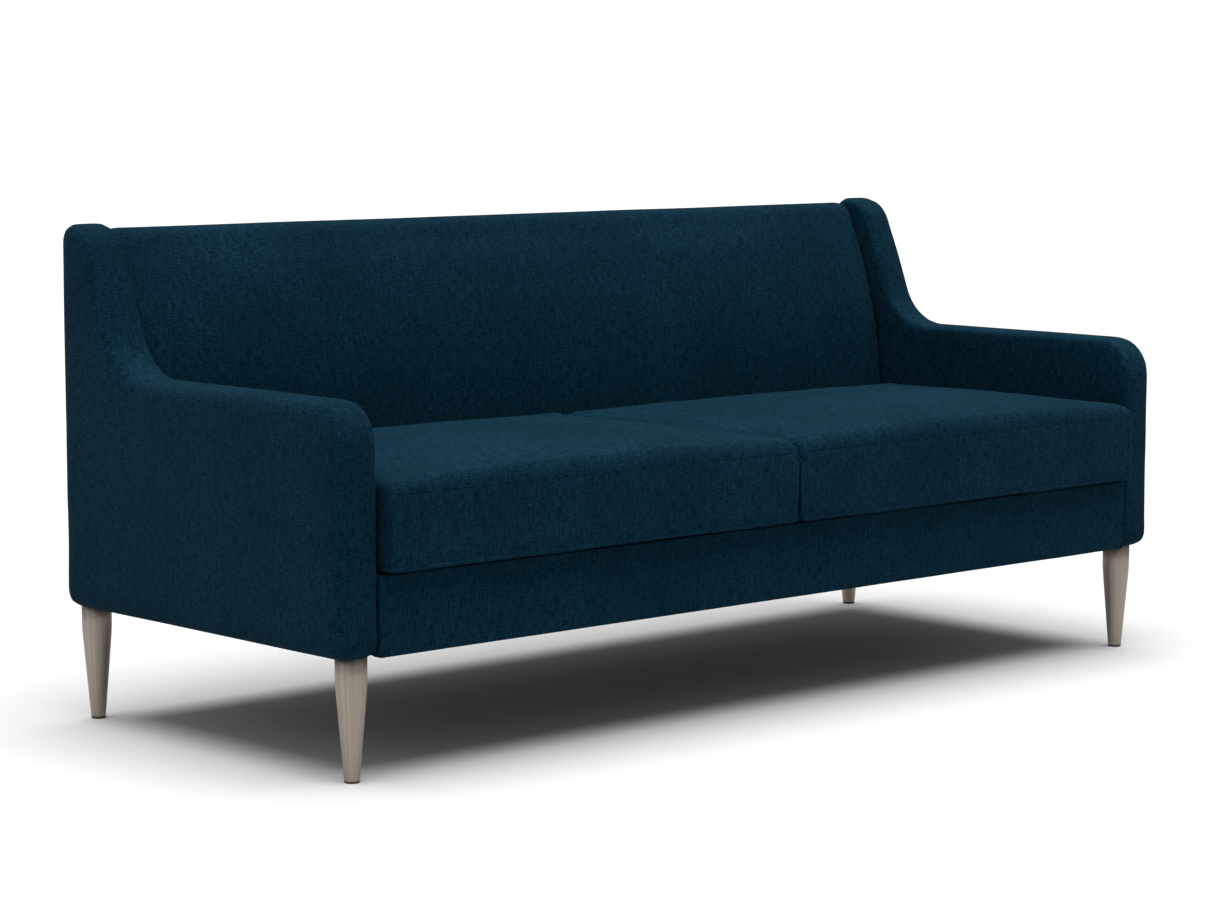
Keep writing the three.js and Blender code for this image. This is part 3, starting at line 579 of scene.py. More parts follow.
def linen(name, dark, light, sheen, tint):
    """A plain-woven heathered cloth with slubs both ways, laid on by the weave map."""
    finish = Finish(name, Sheen_Weight=sheen, Sheen_Roughness=0.35, Sheen_Tint=(*tint, 1),
                    Specular_IOR_Level=0.02)
    u, v = finish.cloth_place()
    across, along = 520.0, 66.0      # slubs per metre, across and along a thread
    weft = finish.noise(finish.gather(u * along, v * across, 0.0), detail=1.0)
    warp = finish.noise(finish.gather(u * across, v * along, 7.3), detail=1.0)
    heather = ((weft + warp - 1.0) * 2.6 + 0.5).clamped()
    tone = finish.noise(finish.place(), 5.0, 3.0)
    thread = 2 * math.pi / WEAVE_WAVE
    weave = (u * thread).sine() * (v * thread).sine()
    cloth = finish.mix(heather, dark, light)
    worn = [0.82 * c for c in dark]
    cloth = finish.mix(((tone - 0.5) * 0.9 + 0.25).clamped(), cloth, worn)
    finish.feed(
        Base_Color=cloth,
        Roughness=0.8 + 0.15 * heather,
        Normal=finish.bump(0.45 * weave + 1.3 * heather, 0.55 * MM, 0.5))
    return finish.material


def brushed_steel(name, colour, bright):
    """Satin metal brushed along its height, with the odd deeper line."""
    finish = Finish(name, Metallic=1.0, Anisotropic=0.35)
    u, v = finish.cloth_place()
    fine = finish.noise(finish.gather(u * 1500.0, v * 5.0, 0.0), detail=3.0, roughness=0.7)
    broad = finish.noise(finish.gather(u * 260.0, v * 2.5, 3.1), detail=2.0)
    streak = (0.55 * fine + 0.6 * broad - 0.1).clamped()
    finish.feed(
        Base_Color=finish.mix(streak, colour, bright),
        Roughness=0.46 + 0.16 * streak,
        Normal=finish.bump(fine, 0.05 * MM, 0.35))
    return finish.material


def plated_steel(name, colour, bright, roughness):
    """Pressed steel with a cloudy zinc plating and a few scuffs."""
    finish = Finish(name, Metallic=1.0)
    place = finish.place()
    crystals = finish.node("ShaderNodeTexVoronoi", {}, {"Vector": place, "Scale": 160.0}, "Color")
    cloud = finish.noise(place, 26.0, 4.0)
    scuff = finish.noise(place, 240.0, 5.0, 0.7)
    share = (finish.spread(crystals)[0] * 0.35 + cloud * 0.65).clamped()
    finish.feed(
        Base_Color=finish.mix(share, colour, bright),
        Roughness=roughness + 0.25 * (scuff - 0.5),
        Normal=finish.bump(scuff, 0.04 * MM, 0.4))
    return finish.material


def timber(name, grain_axis, pale, dark):
    """Planed softwood with growth rings that run along one axis."""
    finish = Finish(name, Specular_IOR_Level=0.3)
    stretch = [26.0, 26.0, 26.0]
    stretch[grain_axis] = 1.6
    ways = finish.spread(finish.place())
    where = finish.gather(*[way * size for way, size in zip(ways, stretch)])
    wander = finish.noise(where, 0.8, 2.0)
    fibre = finish.noise(where, 14.0, 4.0, 0.65)
    rings = ((wander * 46.0).sine() * 0.5 + 0.5) ** 2.2
    finish.feed(
        Base_Color=finish.mix((rings * 0.6 + fibre * 0.35).clamped(), pale, dark),
        Roughness=0.55 + 0.25 * fibre,
        Normal=finish.bump(fibre, 0.15 * MM, 0.4))
    return finish.material


PLY_PITCH = 3.0 * MM


def plywood(name, pale, dark):
    """Birch ply: thin layers across its thickness, grain up its faces."""
    finish = Finish(name, Specular_IOR_Level=0.3)
    x, y, z = finish.spread(finish.place())
    layers = (x * (2 * math.pi / PLY_PITCH)).sine() * 0.5 + 0.5
    grain = finish.noise(finish.gather(x * 40.0, y * 40.0, z * 2.0), 4.0, 4.0, 0.6)
    finish.feed(
        Base_Color=finish.mix((layers * 0.45 + grain * 0.5).clamped(), pale, dark),
        Roughness=0.6 + 0.25 * grain,
        Normal=finish.bump(layers + grain, 0.1 * MM, 0.4))
    return finish.material


def foam(name, pale, dark):
    """Open-cell foam: pores a little over a millimetre apart, paler walls between them."""
    finish = Finish(name, Subsurface_Weight=0.1, Specular_IOR_Level=0.2)
    place = finish.place()
    pores = finish.node("ShaderNodeTexVoronoi", {}, {"Vector": place, "Scale": 700.0}, "Distance")
    tone = finish.noise(place, 12.0, 3.0)
    finish.feed(
        Base_Color=finish.mix((pores * 0.9 + tone * 0.3).clamped(), dark, pale),
        Roughness=0.85 + 0.1 * tone,
        Normal=finish.bump(pores, 0.5 * MM, 0.7))
    return finish.material


def moulded_plastic(name, colour, worn, roughness):
    """Fine-grained moulded plastic, dulled and paler where it has worn."""
    finish = Finish(name)
    place = finish.place()
    grain = finish.noise(place, 900.0, 2.0)
    wear = finish.noise(place, 60.0, 4.0)
    finish.feed(
        Base_Color=finish.mix((wear * 1.6 - 0.5).clamped(), colour, worn),
        Roughness=roughness + 0.2 * (wear - 0.5),
        Normal=finish.bump(grain, 0.05 * MM, 0.4))
    return finish.material


TEAL = linen("teal_linen", (0.0006, 0.0096, 0.0178), (0.0040, 0.0268, 0.0458), 0.022,
             (0.60, 0.88, 1.0))
# A paler teal for the stitches. On the seams where the two cushions meet it is a painted sheen
# line.
THREAD_AND_SHEEN = linen("teal_thread_and_sheen", (0.006, 0.030, 0.047), (0.015, 0.052, 0.074), 0.1, (0.5, 0.8, 1.0))
BLACK_CLOTH = linen("black_cloth", (0.008, 0.008, 0.009), (0.022, 0.022, 0.024), 0.10,
                    (0.8, 0.8, 0.8))
CHAMPAGNE = brushed_steel("champagne_steel", (0.18, 0.157, 0.130), (0.52, 0.460, 0.390))
ZINC = plated_steel("zinc_steel", (0.40, 0.42, 0.44), (0.62, 0.62, 0.60), 0.38)
SPRING_STEEL = plated_steel("spring_steel", (0.035, 0.036, 0.040), (0.085, 0.085, 0.085), 0.42)
PINE_X = timber("pine_long", 0, (0.56, 0.38, 0.19), (0.34, 0.19, 0.075))
PINE_Y = timber("pine_deep", 1, (0.54, 0.37, 0.19), (0.33, 0.19, 0.075))
PLYWOOD = plywood("plywood", (0.50, 0.35, 0.19), (0.29, 0.17, 0.08))
FOAM = foam("foam", (0.70, 0.63, 0.42), (0.46, 0.39, 0.22))
GLIDE_PLASTIC = moulded_plastic("dark_plastic", (0.020, 0.017, 0.015), (0.045, 0.040, 0.036), 0.5)
ZIP_PLASTIC = moulded_plastic("zip_teeth", (0.010, 0.016, 0.020), (0.03, 0.04, 0.05), 0.35)


def dress(piece, body, material):
    """Gives a finished piece its material, a weave map if it has none, and its body."""
    piece.data.materials.clear()
    piece.data.materials.append(material)
    if WEAVE not in piece.data.uv_layers:
        weave_uv(piece)
    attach(piece, body)
    return piece


# ---- Arms ------------------------------------------------------------------------------

def arm_outline(low, high, inset):
    """The winged panel from the side, drawn inwards by an inset."""
    front, rear, bottom = low[1] + inset, high[1] - inset, low[2] + inset
    arm_top = low[2] + ARM_HEIGHT
    corner = max(ARM_CORNER_R - inset, 2 * MM)
    slope = math.radians(WING_SLOPE)
    crown_y = high[1] - WING_REAR_R
    curves = WING_FOOT_R + WING_HEAD_R
    straight = high[2] - arm_top - curves * (1 - math.cos(slope))
    foot_y = crown_y - curves * math.sin(slope) - straight / math.tan(slope)
    rear_r = max(WING_REAR_R - inset, 2 * MM)
    return np.concatenate([
        arc(rear - corner, bottom + corner, corner, -90, 0, 8),
        arc(high[1] - inset - rear_r, high[2] - inset - rear_r, rear_r, 0, 90, 8)[:-1],
        arc(crown_y, high[2] - WING_HEAD_R, WING_HEAD_R - inset, 90, 90 + WING_SLOPE, 14),
        arc(foot_y, arm_top + WING_FOOT_R, WING_FOOT_R + inset, WING_SLOPE - 90, -90, 16),
        arc(low[1] + ARM_FRONT_R, arm_top - ARM_FRONT_R, ARM_FRONT_R - inset, 90, 180, 14),
        arc(front + corner, bottom + corner, corner, 180, 270, 8),
    ])


def swollen_arm():
    """The right arm's upholstery as it settles over the frame."""
    low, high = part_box("arm_cover_right")
    middle, half = (low[0] + high[0]) / 2, (high[0] - low[0]) / 2
    rings = [upright(middle + x, arm_outline(low, high, inset))
             for x, inset in thickness_stations(half - 1 * MM, ARM_OUTER_EDGE_R, ARM_INNER_EDGE_R)]
    piece = remeshed(loft("arm_upholstery_right", rings), 8 * MM)

    def reach(points, outwards):
        outer_face = np.clip(outwards[:, 0], 0, 1)
        return 1.0 * MM + 1.8 * MM * outer_face

    def held(points, outwards):
        return points[:, 2] < low[2] + 4 * MM

    return inflate(piece, pressure=1.5, reach=reach, held=held)


def finish_arm(piece, side, sign):
    """Gives a swollen arm its unevenness and keeps it off the seat."""
    low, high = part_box(f"arm_cover_{side}")
    undulate(piece, height=0.5 * MM, size=0.16, seed=3.0 + sign)
    subdivided(piece)
    points = points_of(piece.data)
    inner = min(abs(low[0]), abs(high[0])) + 0.2 * MM
    points[:, 0] = sign * np.maximum(sign * points[:, 0], inner)
    set_points(piece.data, points)
    dress(piece, "base", TEAL)
    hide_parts(f"arm_cover_{side}")


# ---- Legs ------------------------------------------------------------------------------

LEG_TAPER_TOP = 135 * MM     # the straight taper ends here, and a shoulder widens it to full size
LEG_TAPER_SHY = 1.4 * MM
LEG_SHOULDER = 30 * MM


def leg(end, side):
    """A tapered metal tube on its thin glide."""
    low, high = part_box(f"leg_{end}_{side}")
    x, y, radius = (low[0] + high[0]) / 2, (low[1] + high[1]) / 2, (high[0] - low[0]) / 2
    glide_low, glide_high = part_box(f"leg_glide_{end}_{side}")
    foot_r = (glide_high[0] - glide_low[0]) / 2
    taper_r = radius - LEG_TAPER_SHY
    profile = [(foot_r - 0.4 * MM, low[2]), (foot_r, low[2] + 0.6 * MM)]
    profile += [(foot_r + (taper_r - foot_r) * t, low[2] + (LEG_TAPER_TOP - low[2]) * t)
                for t in np.linspace(0.04, 1, 12)]
    for t in np.linspace(0.1, 1, 8):
        profile.append((taper_r + LEG_TAPER_SHY * math.sin(t * math.pi / 2),
                        LEG_TAPER_TOP + LEG_SHOULDER * t))
    profile.append((radius, high[2]))
    tube_piece = turned(f"leg_tube_{end}_{side}", x, y, profile)
    dress(tube_piece, "base", CHAMPAGNE)
    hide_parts(f"leg_{end}_{side}")
    top = low[2] - 0.2 * MM
    glide = turned(f"glide_{end}_{side}", x, y, [
        (foot_r - 4 * MM, 0), (foot_r - 1.2 * MM, 0), (foot_r - 0.4 * MM, 0.4 * MM),
        (foot_r, 1.2 * MM), (foot_r, top - 0.5 * MM), (foot_r - 0.6 * MM, top)])
    dress(glide, "base", GLIDE_PLASTIC)
    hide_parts(f"leg_glide_{end}_{side}")


# ---- Geometry-node rows ----------------------------------------------------------------

def row_tree():
    """Small bars along a path: stitches, staples and zip teeth."""
    tree = bpy.data.node_groups.new("bars_along_a_path", "GeometryNodeTree")
    face = tree.interface
    face.new_socket("Path", in_out="INPUT", socket_type="NodeSocketGeometry")
    for name, value in (("Pitch", 0.005), ("Length", 0.003), ("Radius", 0.0005),
                        ("Turn", 0.0), ("Jitter", 0.0)):
        face.new_socket(name, in_out="INPUT", socket_type="NodeSocketFloat").default_value = value
    face.new_socket("Seed", in_out="INPUT", socket_type="NodeSocketInt").default_value = 1
    face.new_socket("Material", in_out="INPUT", socket_type="NodeSocketMaterial")
    face.new_socket("Bars", in_out="OUTPUT", socket_type="NodeSocketGeometry")

    def node(kind, settings=None, sockets=None):
        made = tree.nodes.new(kind)
        for key, value in (settings or {}).items():
            setattr(made, key, value)
        for key, value in (sockets or {}).items():
            if isinstance(value, bpy.types.NodeSocket):
                tree.links.new(value, made.inputs[key])
            else:
                made.inputs[key].default_value = value
        return made

    given = node("NodeGroupInput")
    curve = node("GeometryNodeMeshToCurve", {}, {"Mesh": given.outputs["Path"]})
    spaced = node("GeometryNodeResampleCurve", {"mode": "LENGTH"},
                  {"Curve": curve.outputs["Curve"], "Length": given.outputs["Pitch"]})
    bar = node("GeometryNodeMeshCylinder", {},
               {"Vertices": 6, "Radius": given.outputs["Radius"], "Depth": given.outputs["Length"]})
    heading = node("GeometryNodeInputTangent")
    aligned = node("FunctionNodeAlignRotationToVector", {"axis": "Z"},
                   {"Vector": heading.outputs["Tangent"]})
    low = node("ShaderNodeMath", {"operation": "MULTIPLY"}, {0: given.outputs["Jitter"], 1: -1.0})
    wobble = node("FunctionNodeRandomValue", {"data_type": "FLOAT"}, {
        2: low.outputs[0], 3: given.outputs["Jitter"], "Seed": given.outputs["Seed"]})
    angle = node("ShaderNodeMath", {"operation": "ADD"},
                 {0: wobble.outputs[1], 1: given.outputs["Turn"]})
    spin = node("FunctionNodeAxisAngleToRotation", {},
                {"Axis": (1.0, 0.0, 0.0), "Angle": angle.outputs[0]})
    turn = node("FunctionNodeRotateRotation", {"rotation_space": "LOCAL"},
                {"Rotation": aligned.outputs["Rotation"], "Rotate By": spin.outputs["Rotation"]})
    placed = node("GeometryNodeInstanceOnPoints", {}, {
        "Points": spaced.outputs["Curve"], "Instance": bar.outputs["Mesh"],
        "Rotation": turn.outputs["Rotation"]})
    real = node("GeometryNodeRealizeInstances", {}, {"Geometry": placed.outputs["Instances"]})
    coloured = node("GeometryNodeSetMaterial", {}, {
        "Geometry": real.outputs["Geometry"], "Material": given.outputs["Material"]})
    node("NodeGroupOutput", {}, {"Bars": coloured.outputs["Geometry"]})
    return tree


ROW_TREE = row_tree()


def row(name, path, material, closed=False, **sizes):
    """A row of bars along a path, as one plain mesh."""
    mesh = bpy.data.meshes.new(name)
    count = len(path)
    links = [(i, i + 1) for i in range(count - 1)] + ([(count - 1, 0)] if closed else [])
    mesh.from_pydata([tuple(p) for p in path], links, [])
    piece = bpy.data.objects.new(name, mesh)
    bpy.context.scene.collection.objects.link(piece)
    modifier = piece.modifiers.new("row", "NODES")
    modifier.node_group = ROW_TREE
    inputs = {item.name: item.identifier for item in ROW_TREE.interface.items_tree
              if item.in_out == "INPUT"}
    modifier[inputs["Material"]] = material
    for key, value in sizes.items():
        modifier[inputs[key]] = value
    return settled(piece)


# ---- Seat cushions ---------------------------------------------------------------------

def rolled_in(height, top, radius):
    """How far a face has rolled inwards at a height, below an edge at the top."""
    into = np.clip(height - (top - radius), 0, radius)
    return radius - np.sqrt(np.maximum(radius ** 2 - into ** 2, 0))


def seat_shape(name, low, high, shrink=0.0, cell=9 * MM):
    """The sewn shape of a box cushion: bulging ends, rolled top edges and a crowned top."""
    half = np.array([(high[0] - low[0]) / 2, (high[1] - low[1]) / 2, SEAT_END_H / 2]) - shrink
    piece = cube_grid(name, [grid_lines(2 * size, SEAT_EDGE_R, cell) for size in half])
    unit = points_of(piece.data)
    core = np.clip(unit * half, SEAT_EDGE_R - half, half - SEAT_EDGE_R)
    away = unit * half - core
    length = np.maximum(np.linalg.norm(away, axis=1, keepdims=True), 1e-9)
    points = core + away / length * SEAT_EDGE_R
    height = points[:, 2] + half[2]
    top = 2 * half[2]
    level = 2 * height / top - 1
    narrow = SEAT_END_BULGE * level ** 2 + rolled_in(height, top, SEAT_TOP_R)
    narrow += rolled_in(top - height, top, SEAT_FOOT_R)
    front = rolled_in(height, top, SEAT_ROLL_R) + rolled_in(top - height, top, SEAT_FOOT_R / 2)
    rear = rolled_in(height, top, SEAT_TOP_R) + rolled_in(top - height, top, SEAT_FOOT_R / 2)
    points[:, 0] *= 1 - narrow / half[0]
    depth_share = points[:, 1] / half[1]
    points[:, 1] -= np.where(depth_share < 0, front, rear) * depth_share
    ahead = np.clip((-0.25 - depth_share) / 0.75, 0, 1)
    behind = np.clip((depth_share + 0.25) / 1.25, 0, 1)
    crown = 1 - np.abs(unit[:, 0]) ** CROWN_SHARPNESS
    crown *= (1 - CROWN_FRONT_FALL * ahead ** 2) * (1 - CROWN_REAR_FALL * behind ** 2)
    points[:, 2] += SEAT_CROWN * crown * np.clip(level, 0, 1) ** 2
    points += ((low[0] + high[0]) / 2, (low[1] + high[1]) / 2, low[2] + shrink + half[2])
    set_points(piece.data, points)
    return piece


def swollen_cushion():
    """The right seat cushion, filled and resting on the deck."""
    low, high = (np.array(c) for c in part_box("seat_cushion_cover_right"))
    piece = seat_shape("seat_cushion_right", low, high)
    modify(piece, "SMOOTH", factor=0.5, iterations=2)
    settled(piece)
    middle, half = (low + high) / 2, (high - low) / 2

    def reach(points, outwards):
        share = np.abs(points - middle) / half
        crown = (1 - share[:, 0] ** 2.4) * (1 - 0.8 * share[:, 1] ** 2)
        top, front = np.clip(outwards[:, 2], 0, 1), np.clip(-outwards[:, 1], 0, 1)
        return 1.0 * MM + 7.5 * MM * top * np.clip(crown, 0, 1) + 3 * MM * front

    def held(points, outwards):
        return points[:, 2] < low[2] + 5 * MM

    return inflate(piece, pressure=4.0, reach=reach, held=held)


def finish_cushion(piece, side, sign):
    """Gives a swollen cushion its unevenness, seams and zip, and puts its foam inside."""
    low, high = (np.array(c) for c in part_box(f"seat_cushion_cover_{side}"))
    undulate(piece, height=1.4 * MM, size=0.13, seed=11.0 + 5 * sign)
    subdivided(piece)
    points = points_of(piece.data)
    points[:, 0] = np.clip(points[:, 0], low[0] + 0.2 * MM, high[0] - 0.2 * MM)
    points[:, 1] = np.clip(points[:, 1], low[1] - 2 * MM, high[1] - 0.5 * MM)
    points[:, 2] = np.maximum(points[:, 2], low[2])
    set_points(piece.data, points)
    body = f"cushion_{side}"
    seam(f"seat_seam_upper_{side}", piece, 2, low[2] + SEAT_END_H - SEAM_BELOW_TOP, body, TEAL)
    seam(f"seat_seam_lower_{side}", piece, 2, low[2] + SEAM_ABOVE_FOOT, body, TEAL)
    for name, level in (("left", low[0] + SEAM_FROM_END), ("right", high[0] - SEAM_FROM_END)):
        # The paler fold on the seams where the two cushions meet is a painted sheen line, not a
        # seam of another colour.
        finish = TEAL if name == side else THREAD_AND_SHEEN      # paler where the two cushions meet
        seam(f"seat_end_seam_{name}_{side}", piece, 0, level, body, finish)
    dress(piece, body, TEAL)
    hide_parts(f"seat_cushion_cover_{side}")
    core = seat_shape(f"seat_foam_{side}", low, high, shrink=15 * MM, cell=20 * MM)
    dress(core, body, FOAM)
    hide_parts(f"seat_cushion_foam_{side}")
    zip_fastener(side, piece, low, body)


ZIP_LENGTH = 560 * MM
ZIP_TAPE = (                 # height and proudness of the tape's section, from the zip's middle
    (-13 * MM, -0.4 * MM), (-12.4 * MM, 0.7 * MM), (-3 * MM, 0.9 * MM),
    (3 * MM, 0.9 * MM), (12.4 * MM, 0.7 * MM), (13 * MM, -0.4 * MM))


def zip_fastener(side, cushion, low, body):
    """A closed zip across the cushion's rear: tape, teeth, slider and a stitched edge."""
    points = points_of(cushion.data)
    height = low[2] + SEAT_END_H / 2
    middle = (points[:, 0].min() + points[:, 0].max()) / 2
    tree = surface_of(cushion)
    behind = points[:, 1].max() + 0.1

    def rear_line(z, proud):
        line = []
        for x in np.linspace(middle - ZIP_LENGTH / 2, middle + ZIP_LENGTH / 2, 57):
            hit = tree.ray_cast(Vector((x, behind, z)), Vector((0, -1, 0)))[0]
            line.append((x, hit[1] + proud, z))
        return line

    outer = [rear_line(height + dz, proud) for dz, proud in ZIP_TAPE]
    rings = np.swapaxes(np.array(outer), 0, 1)
    tape = loft(f"zip_tape_{side}", rings)
    dress(tape, body, BLACK_CLOTH)
    teeth = row(f"zip_teeth_{side}", rear_line(height, 1.3 * MM), ZIP_PLASTIC,
                Pitch=2.4 * MM, Length=5.5 * MM, Radius=0.8 * MM, Turn=math.pi / 2)
    dress(teeth, body, ZIP_PLASTIC)
    for edge, dz in (("upper", 10 * MM), ("lower", -10 * MM)):
        stitches = row(f"zip_stitches_{edge}_{side}", rear_line(height + dz, 0.9 * MM), THREAD_AND_SHEEN,
                       Pitch=4.5 * MM, Length=3.2 * MM, Radius=0.35 * MM, Jitter=0.06, Seed=7)
        dress(stitches, body, THREAD_AND_SHEEN)
    end = Vector(rear_line(height, 0)[-2])
    slider = rounded_block(f"zip_slider_{side}", end + Vector((-9, 0.6, -4.5)) * MM,
                           end + Vector((9, 3.4, 4.5)) * MM, 1.1 * MM, cell=4 * MM)
    dress(slider, body, ZINC)


# ---- Back ------------------------------------------------------------------------------

def back_outline(low, high, inset):
    """The back from the side: upright foot, bowed front, domed top, flat rear, round heel."""
    deck_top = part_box("seat_deck")[1][2]
    bow_z = deck_top + BACK_BOW_START
    bow = high[1] - low[1] - BACK_TOP_DEPTH
    bow_r = ((high[2] - bow_z) ** 2 + bow ** 2) / (2 * bow)
    centre = low[1] + bow_r
    reach = bow_r - BACK_TOP_R
    dome_z = high[2] - BACK_TOP_R
    tilt = math.degrees(math.asin((dome_z - bow_z) / reach))
    dome_y = centre - reach * math.cos(math.radians(tilt))
    rear_r = high[1] - dome_y
    toe = BACK_TOE_R
    return np.concatenate([
        arc(high[1] - PIN_REACH, low[2] + PIN_REACH, PIN_REACH - inset, -90, 0, 12),
        arc(dome_y, high[2] - rear_r, rear_r - inset, 0, 90, 10)[:-1],
        arc(dome_y, dome_z, BACK_TOP_R - inset, 90, 180 - tilt, 10)[:-1],
        arc(centre, bow_z, bow_r - inset, 180 - tilt, 180, 40),
        arc(low[1] + toe, low[2] + toe, toe - min(inset, 0.8 * toe), 180, 270, 6),
    ])


def back():
    """The padded back, swollen towards the sitter, with its rear panel."""
    low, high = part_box("back_pad")
    half = high[0] - 0.2 * MM
    rings = [upright(x, back_outline(low, high, inset))
             for x, inset in thickness_stations(half, BACK_EDGE_R, BACK_EDGE_R)]
    piece = remeshed(loft("back_upholstery", rings), 9 * MM)
    cushion_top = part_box("seat_cushion_cover_left")[1][2]

    def reach(points, outwards):
        above = np.clip((points[:, 2] - cushion_top) / 0.12, 0, 1)
        return 0.5 * MM + 2.5 * MM * np.clip(-outwards[:, 1], 0, 1) * above

    def held(points, outwards):
        return (outwards[:, 1] > 0.8) | (points[:, 2] < low[2] + 12 * MM)

    inflate(piece, pressure=2.0, reach=reach, held=held, rounds=30)
    undulate(piece, height=0.7 * MM, size=0.2, seed=21.0)
    subdivided(piece)
    points = points_of(piece.data)
    points[:, 0] = np.clip(points[:, 0], low[0] + 0.1 * MM, high[0] - 0.1 * MM)
    points[:, 1] = np.minimum(points[:, 1], high[1])
    set_points(piece.data, points)
    cut_hinge_slots(piece, low, high)
    dress(piece, "back", TEAL)
    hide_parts("back_pad")
    rear_panel()


CUTTER_HALF = 0.1            # half the cutter's depth and height, well past the back's own


def cut_hinge_slots(piece, low, high):
    """Opens the back's lower rear corners where the hinge plates stand."""
    pin_y, pin_z = high[1] - PIN_REACH, low[2] + PIN_REACH
    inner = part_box("arm_cover_right")[0][0] - HINGE_SLOT
    for side, sign in SIDES:
        centre = np.array([sign * (inner + HINGE_SLOT), pin_y - SLOT_REACH + CUTTER_HALF,
                           pin_z + SLOT_RISE - CUTTER_HALF])
        half = (HINGE_SLOT, CUTTER_HALF, CUTTER_HALF)
        cutter = rounded_block(f"slot_cutter_{side}", centre - half, centre + half,
                               3 * MM, cell=30 * MM)
        modify(piece, "BOOLEAN", operation="DIFFERENCE", object=cutter, solver="EXACT")
        settled(piece)
        bpy.data.objects.remove(cutter)


def rear_panel():
    """The plain panel on the rear, slip-stitched in place."""
    low, high = (np.array(c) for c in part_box("back_panel"))
    panel = rounded_block("rear_panel", (low[0], low[1] + 2 * MM, low[2]),
                          (high[0], high[1] + 1.6 * MM, high[2]), 2 * MM)
    undulate(panel, height=0.7 * MM, size=0.22, seed=31.0)
    subdivided(panel)
    dress(panel, "back", TEAL)
    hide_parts("back_panel")
    y = high[1] + 1.0 * MM
    inset = 1.5 * MM
    corners = [(low[0] + inset, low[2] + inset), (high[0] - inset, low[2] + inset),
               (high[0] - inset, high[2] - inset), (low[0] + inset, high[2] - inset)]
    path = [(x, y, z) for x, z in corners]
    stitches = row("rear_panel_stitches", path, THREAD_AND_SHEEN, closed=True, Pitch=9 * MM,
                   Length=5 * MM, Radius=0.4 * MM, Jitter=0.1, Seed=3)
    dress(stitches, "back", THREAD_AND_SHEEN)


# ---- Seat platform ---------------------------------------------------------------------

CLOTH_THICK = 0.2 * MM


def apron(name, node, rail, seed):
    """A padded apron whose cloth turns in over the ends of its rail."""
    low, high = (np.array(c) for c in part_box(node))
    face = rounded_block(f"{name}_face", low, high, 3 * MM, cell=10 * MM)
    undulate(face, height=0.6 * MM, size=0.14, seed=seed)
    subdivided(face)
    rail_low, rail_high = (np.array(c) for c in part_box(rail))
    front, rear = (low[1], rail_high[1]) if low[1] < rail_low[1] else (rail_low[1], high[1])
    front, rear = front + 3 * MM, rear - 3 * MM
    turned_in = [
        rounded_block(f"{name}_end", (end, front, low[2] + 2 * MM),
                      (end + CLOTH_THICK, rear, high[2] - 1 * MM), 0.4 * CLOTH_THICK)
        for end in (rail_low[0] - 0.25 * MM, rail_high[0] + 0.05 * MM)
    ]
    piece = joined(name, [face, *turned_in])
    dress(piece, "base", TEAL)
    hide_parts(node)


def deck():
    """The black pad over the springs, which the cushions rest on, with two rows of stitches."""
    low, high = (np.array(c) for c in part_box("seat_deck"))
    piece = rounded_block("deck_pad", low, high - (0, 0, 1.5 * MM), 2.5 * MM, crown=1.2 * MM)
    subdivided(piece)
    dress(piece, "base", BLACK_CLOTH)
    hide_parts("seat_deck")
    for index, share in enumerate((0.3, 0.6), 1):
        y = low[1] + share * (high[1] - low[1])
        line = [(x, y, high[2] - 0.3 * MM + 0.6 * MM * (1 - (x / high[0]) ** 2))
                for x in np.linspace(low[0] + 0.02, high[0] - 0.02, 60)]
        stitches = row(f"deck_stitches_{index}", line, THREAD_AND_SHEEN, Pitch=6 * MM, Length=4 * MM,
                       Radius=0.4 * MM, Jitter=0.08, Seed=index)
        dress(stitches, "base", THREAD_AND_SHEEN)


def dust_cover():
    """Thin black cloth tacked under the rails; it hangs a little between them."""
    low, high = (np.array(c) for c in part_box("dust_cover"))
    sag = 3 * MM
    piece = cube_grid("dust_cloth", [np.linspace(-1, 1, n) for n in (61, 31, 2)])
    unit = points_of(piece.data)
    points = (low + high) / 2 + unit * (high - low) / 2 * (1, 1, 0.35)
    points[:, 2] += 0.6 * MM - sag * (1 - unit[:, 0] ** 4) * (1 - unit[:, 1] ** 4)
    set_points(piece.data, points)
    dress(piece, "base", BLACK_CLOTH)
    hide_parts("dust_cover")
    inset, z = 9 * MM, low[2] + 0.1 * MM
    corners = [(low[0] + inset, low[1] + inset, z), (high[0] - inset, low[1] + inset, z),
               (high[0] - inset, high[1] - inset, z), (low[0] + inset, high[1] - inset, z)]
    staples = row("dust_cloth_staples", corners, ZINC, closed=True, Pitch=42 * MM,
                  Length=11 * MM, Radius=0.6 * MM, Jitter=0.22, Seed=5)
    dress(staples, "base", ZINC)


SCREW_PLACES = ((14, 14), (40, 14), (14, 44))      # mm from a plate's lower front corner
SCREW_HEAD = (               # radius and height of the head's turned section, in mm
    (4.6, -0.4), (4.6, 0.2), (4.2, 0.7), (2.6, 1.0), (2.4, 0.2), (1.0, 0.2))
SCREW_SEGMENTS = 24


def hinge_screws():
    """Three low round-headed screws hold each fixed hinge plate to its rail."""
    angles = np.linspace(0, 2 * math.pi, SCREW_SEGMENTS, endpoint=False)
    for side, sign in SIDES:
        low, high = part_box(f"hinge_plate_{side}")
        face = high[0] if sign > 0 else low[0]
        for index, (dy, dz) in enumerate(SCREW_PLACES, 1):
            y, z = low[1] + dy * MM, low[2] + dz * MM
            rings = [
                np.column_stack([np.full(SCREW_SEGMENTS, face + sign * out * MM),
                                 y + r * MM * np.cos(angles), z + r * MM * np.sin(angles)])
                for r, out in SCREW_HEAD
            ]
            screw = loft(f"hinge_screw_{index}_{side}", rings)
            dress(screw, "base", ZINC)


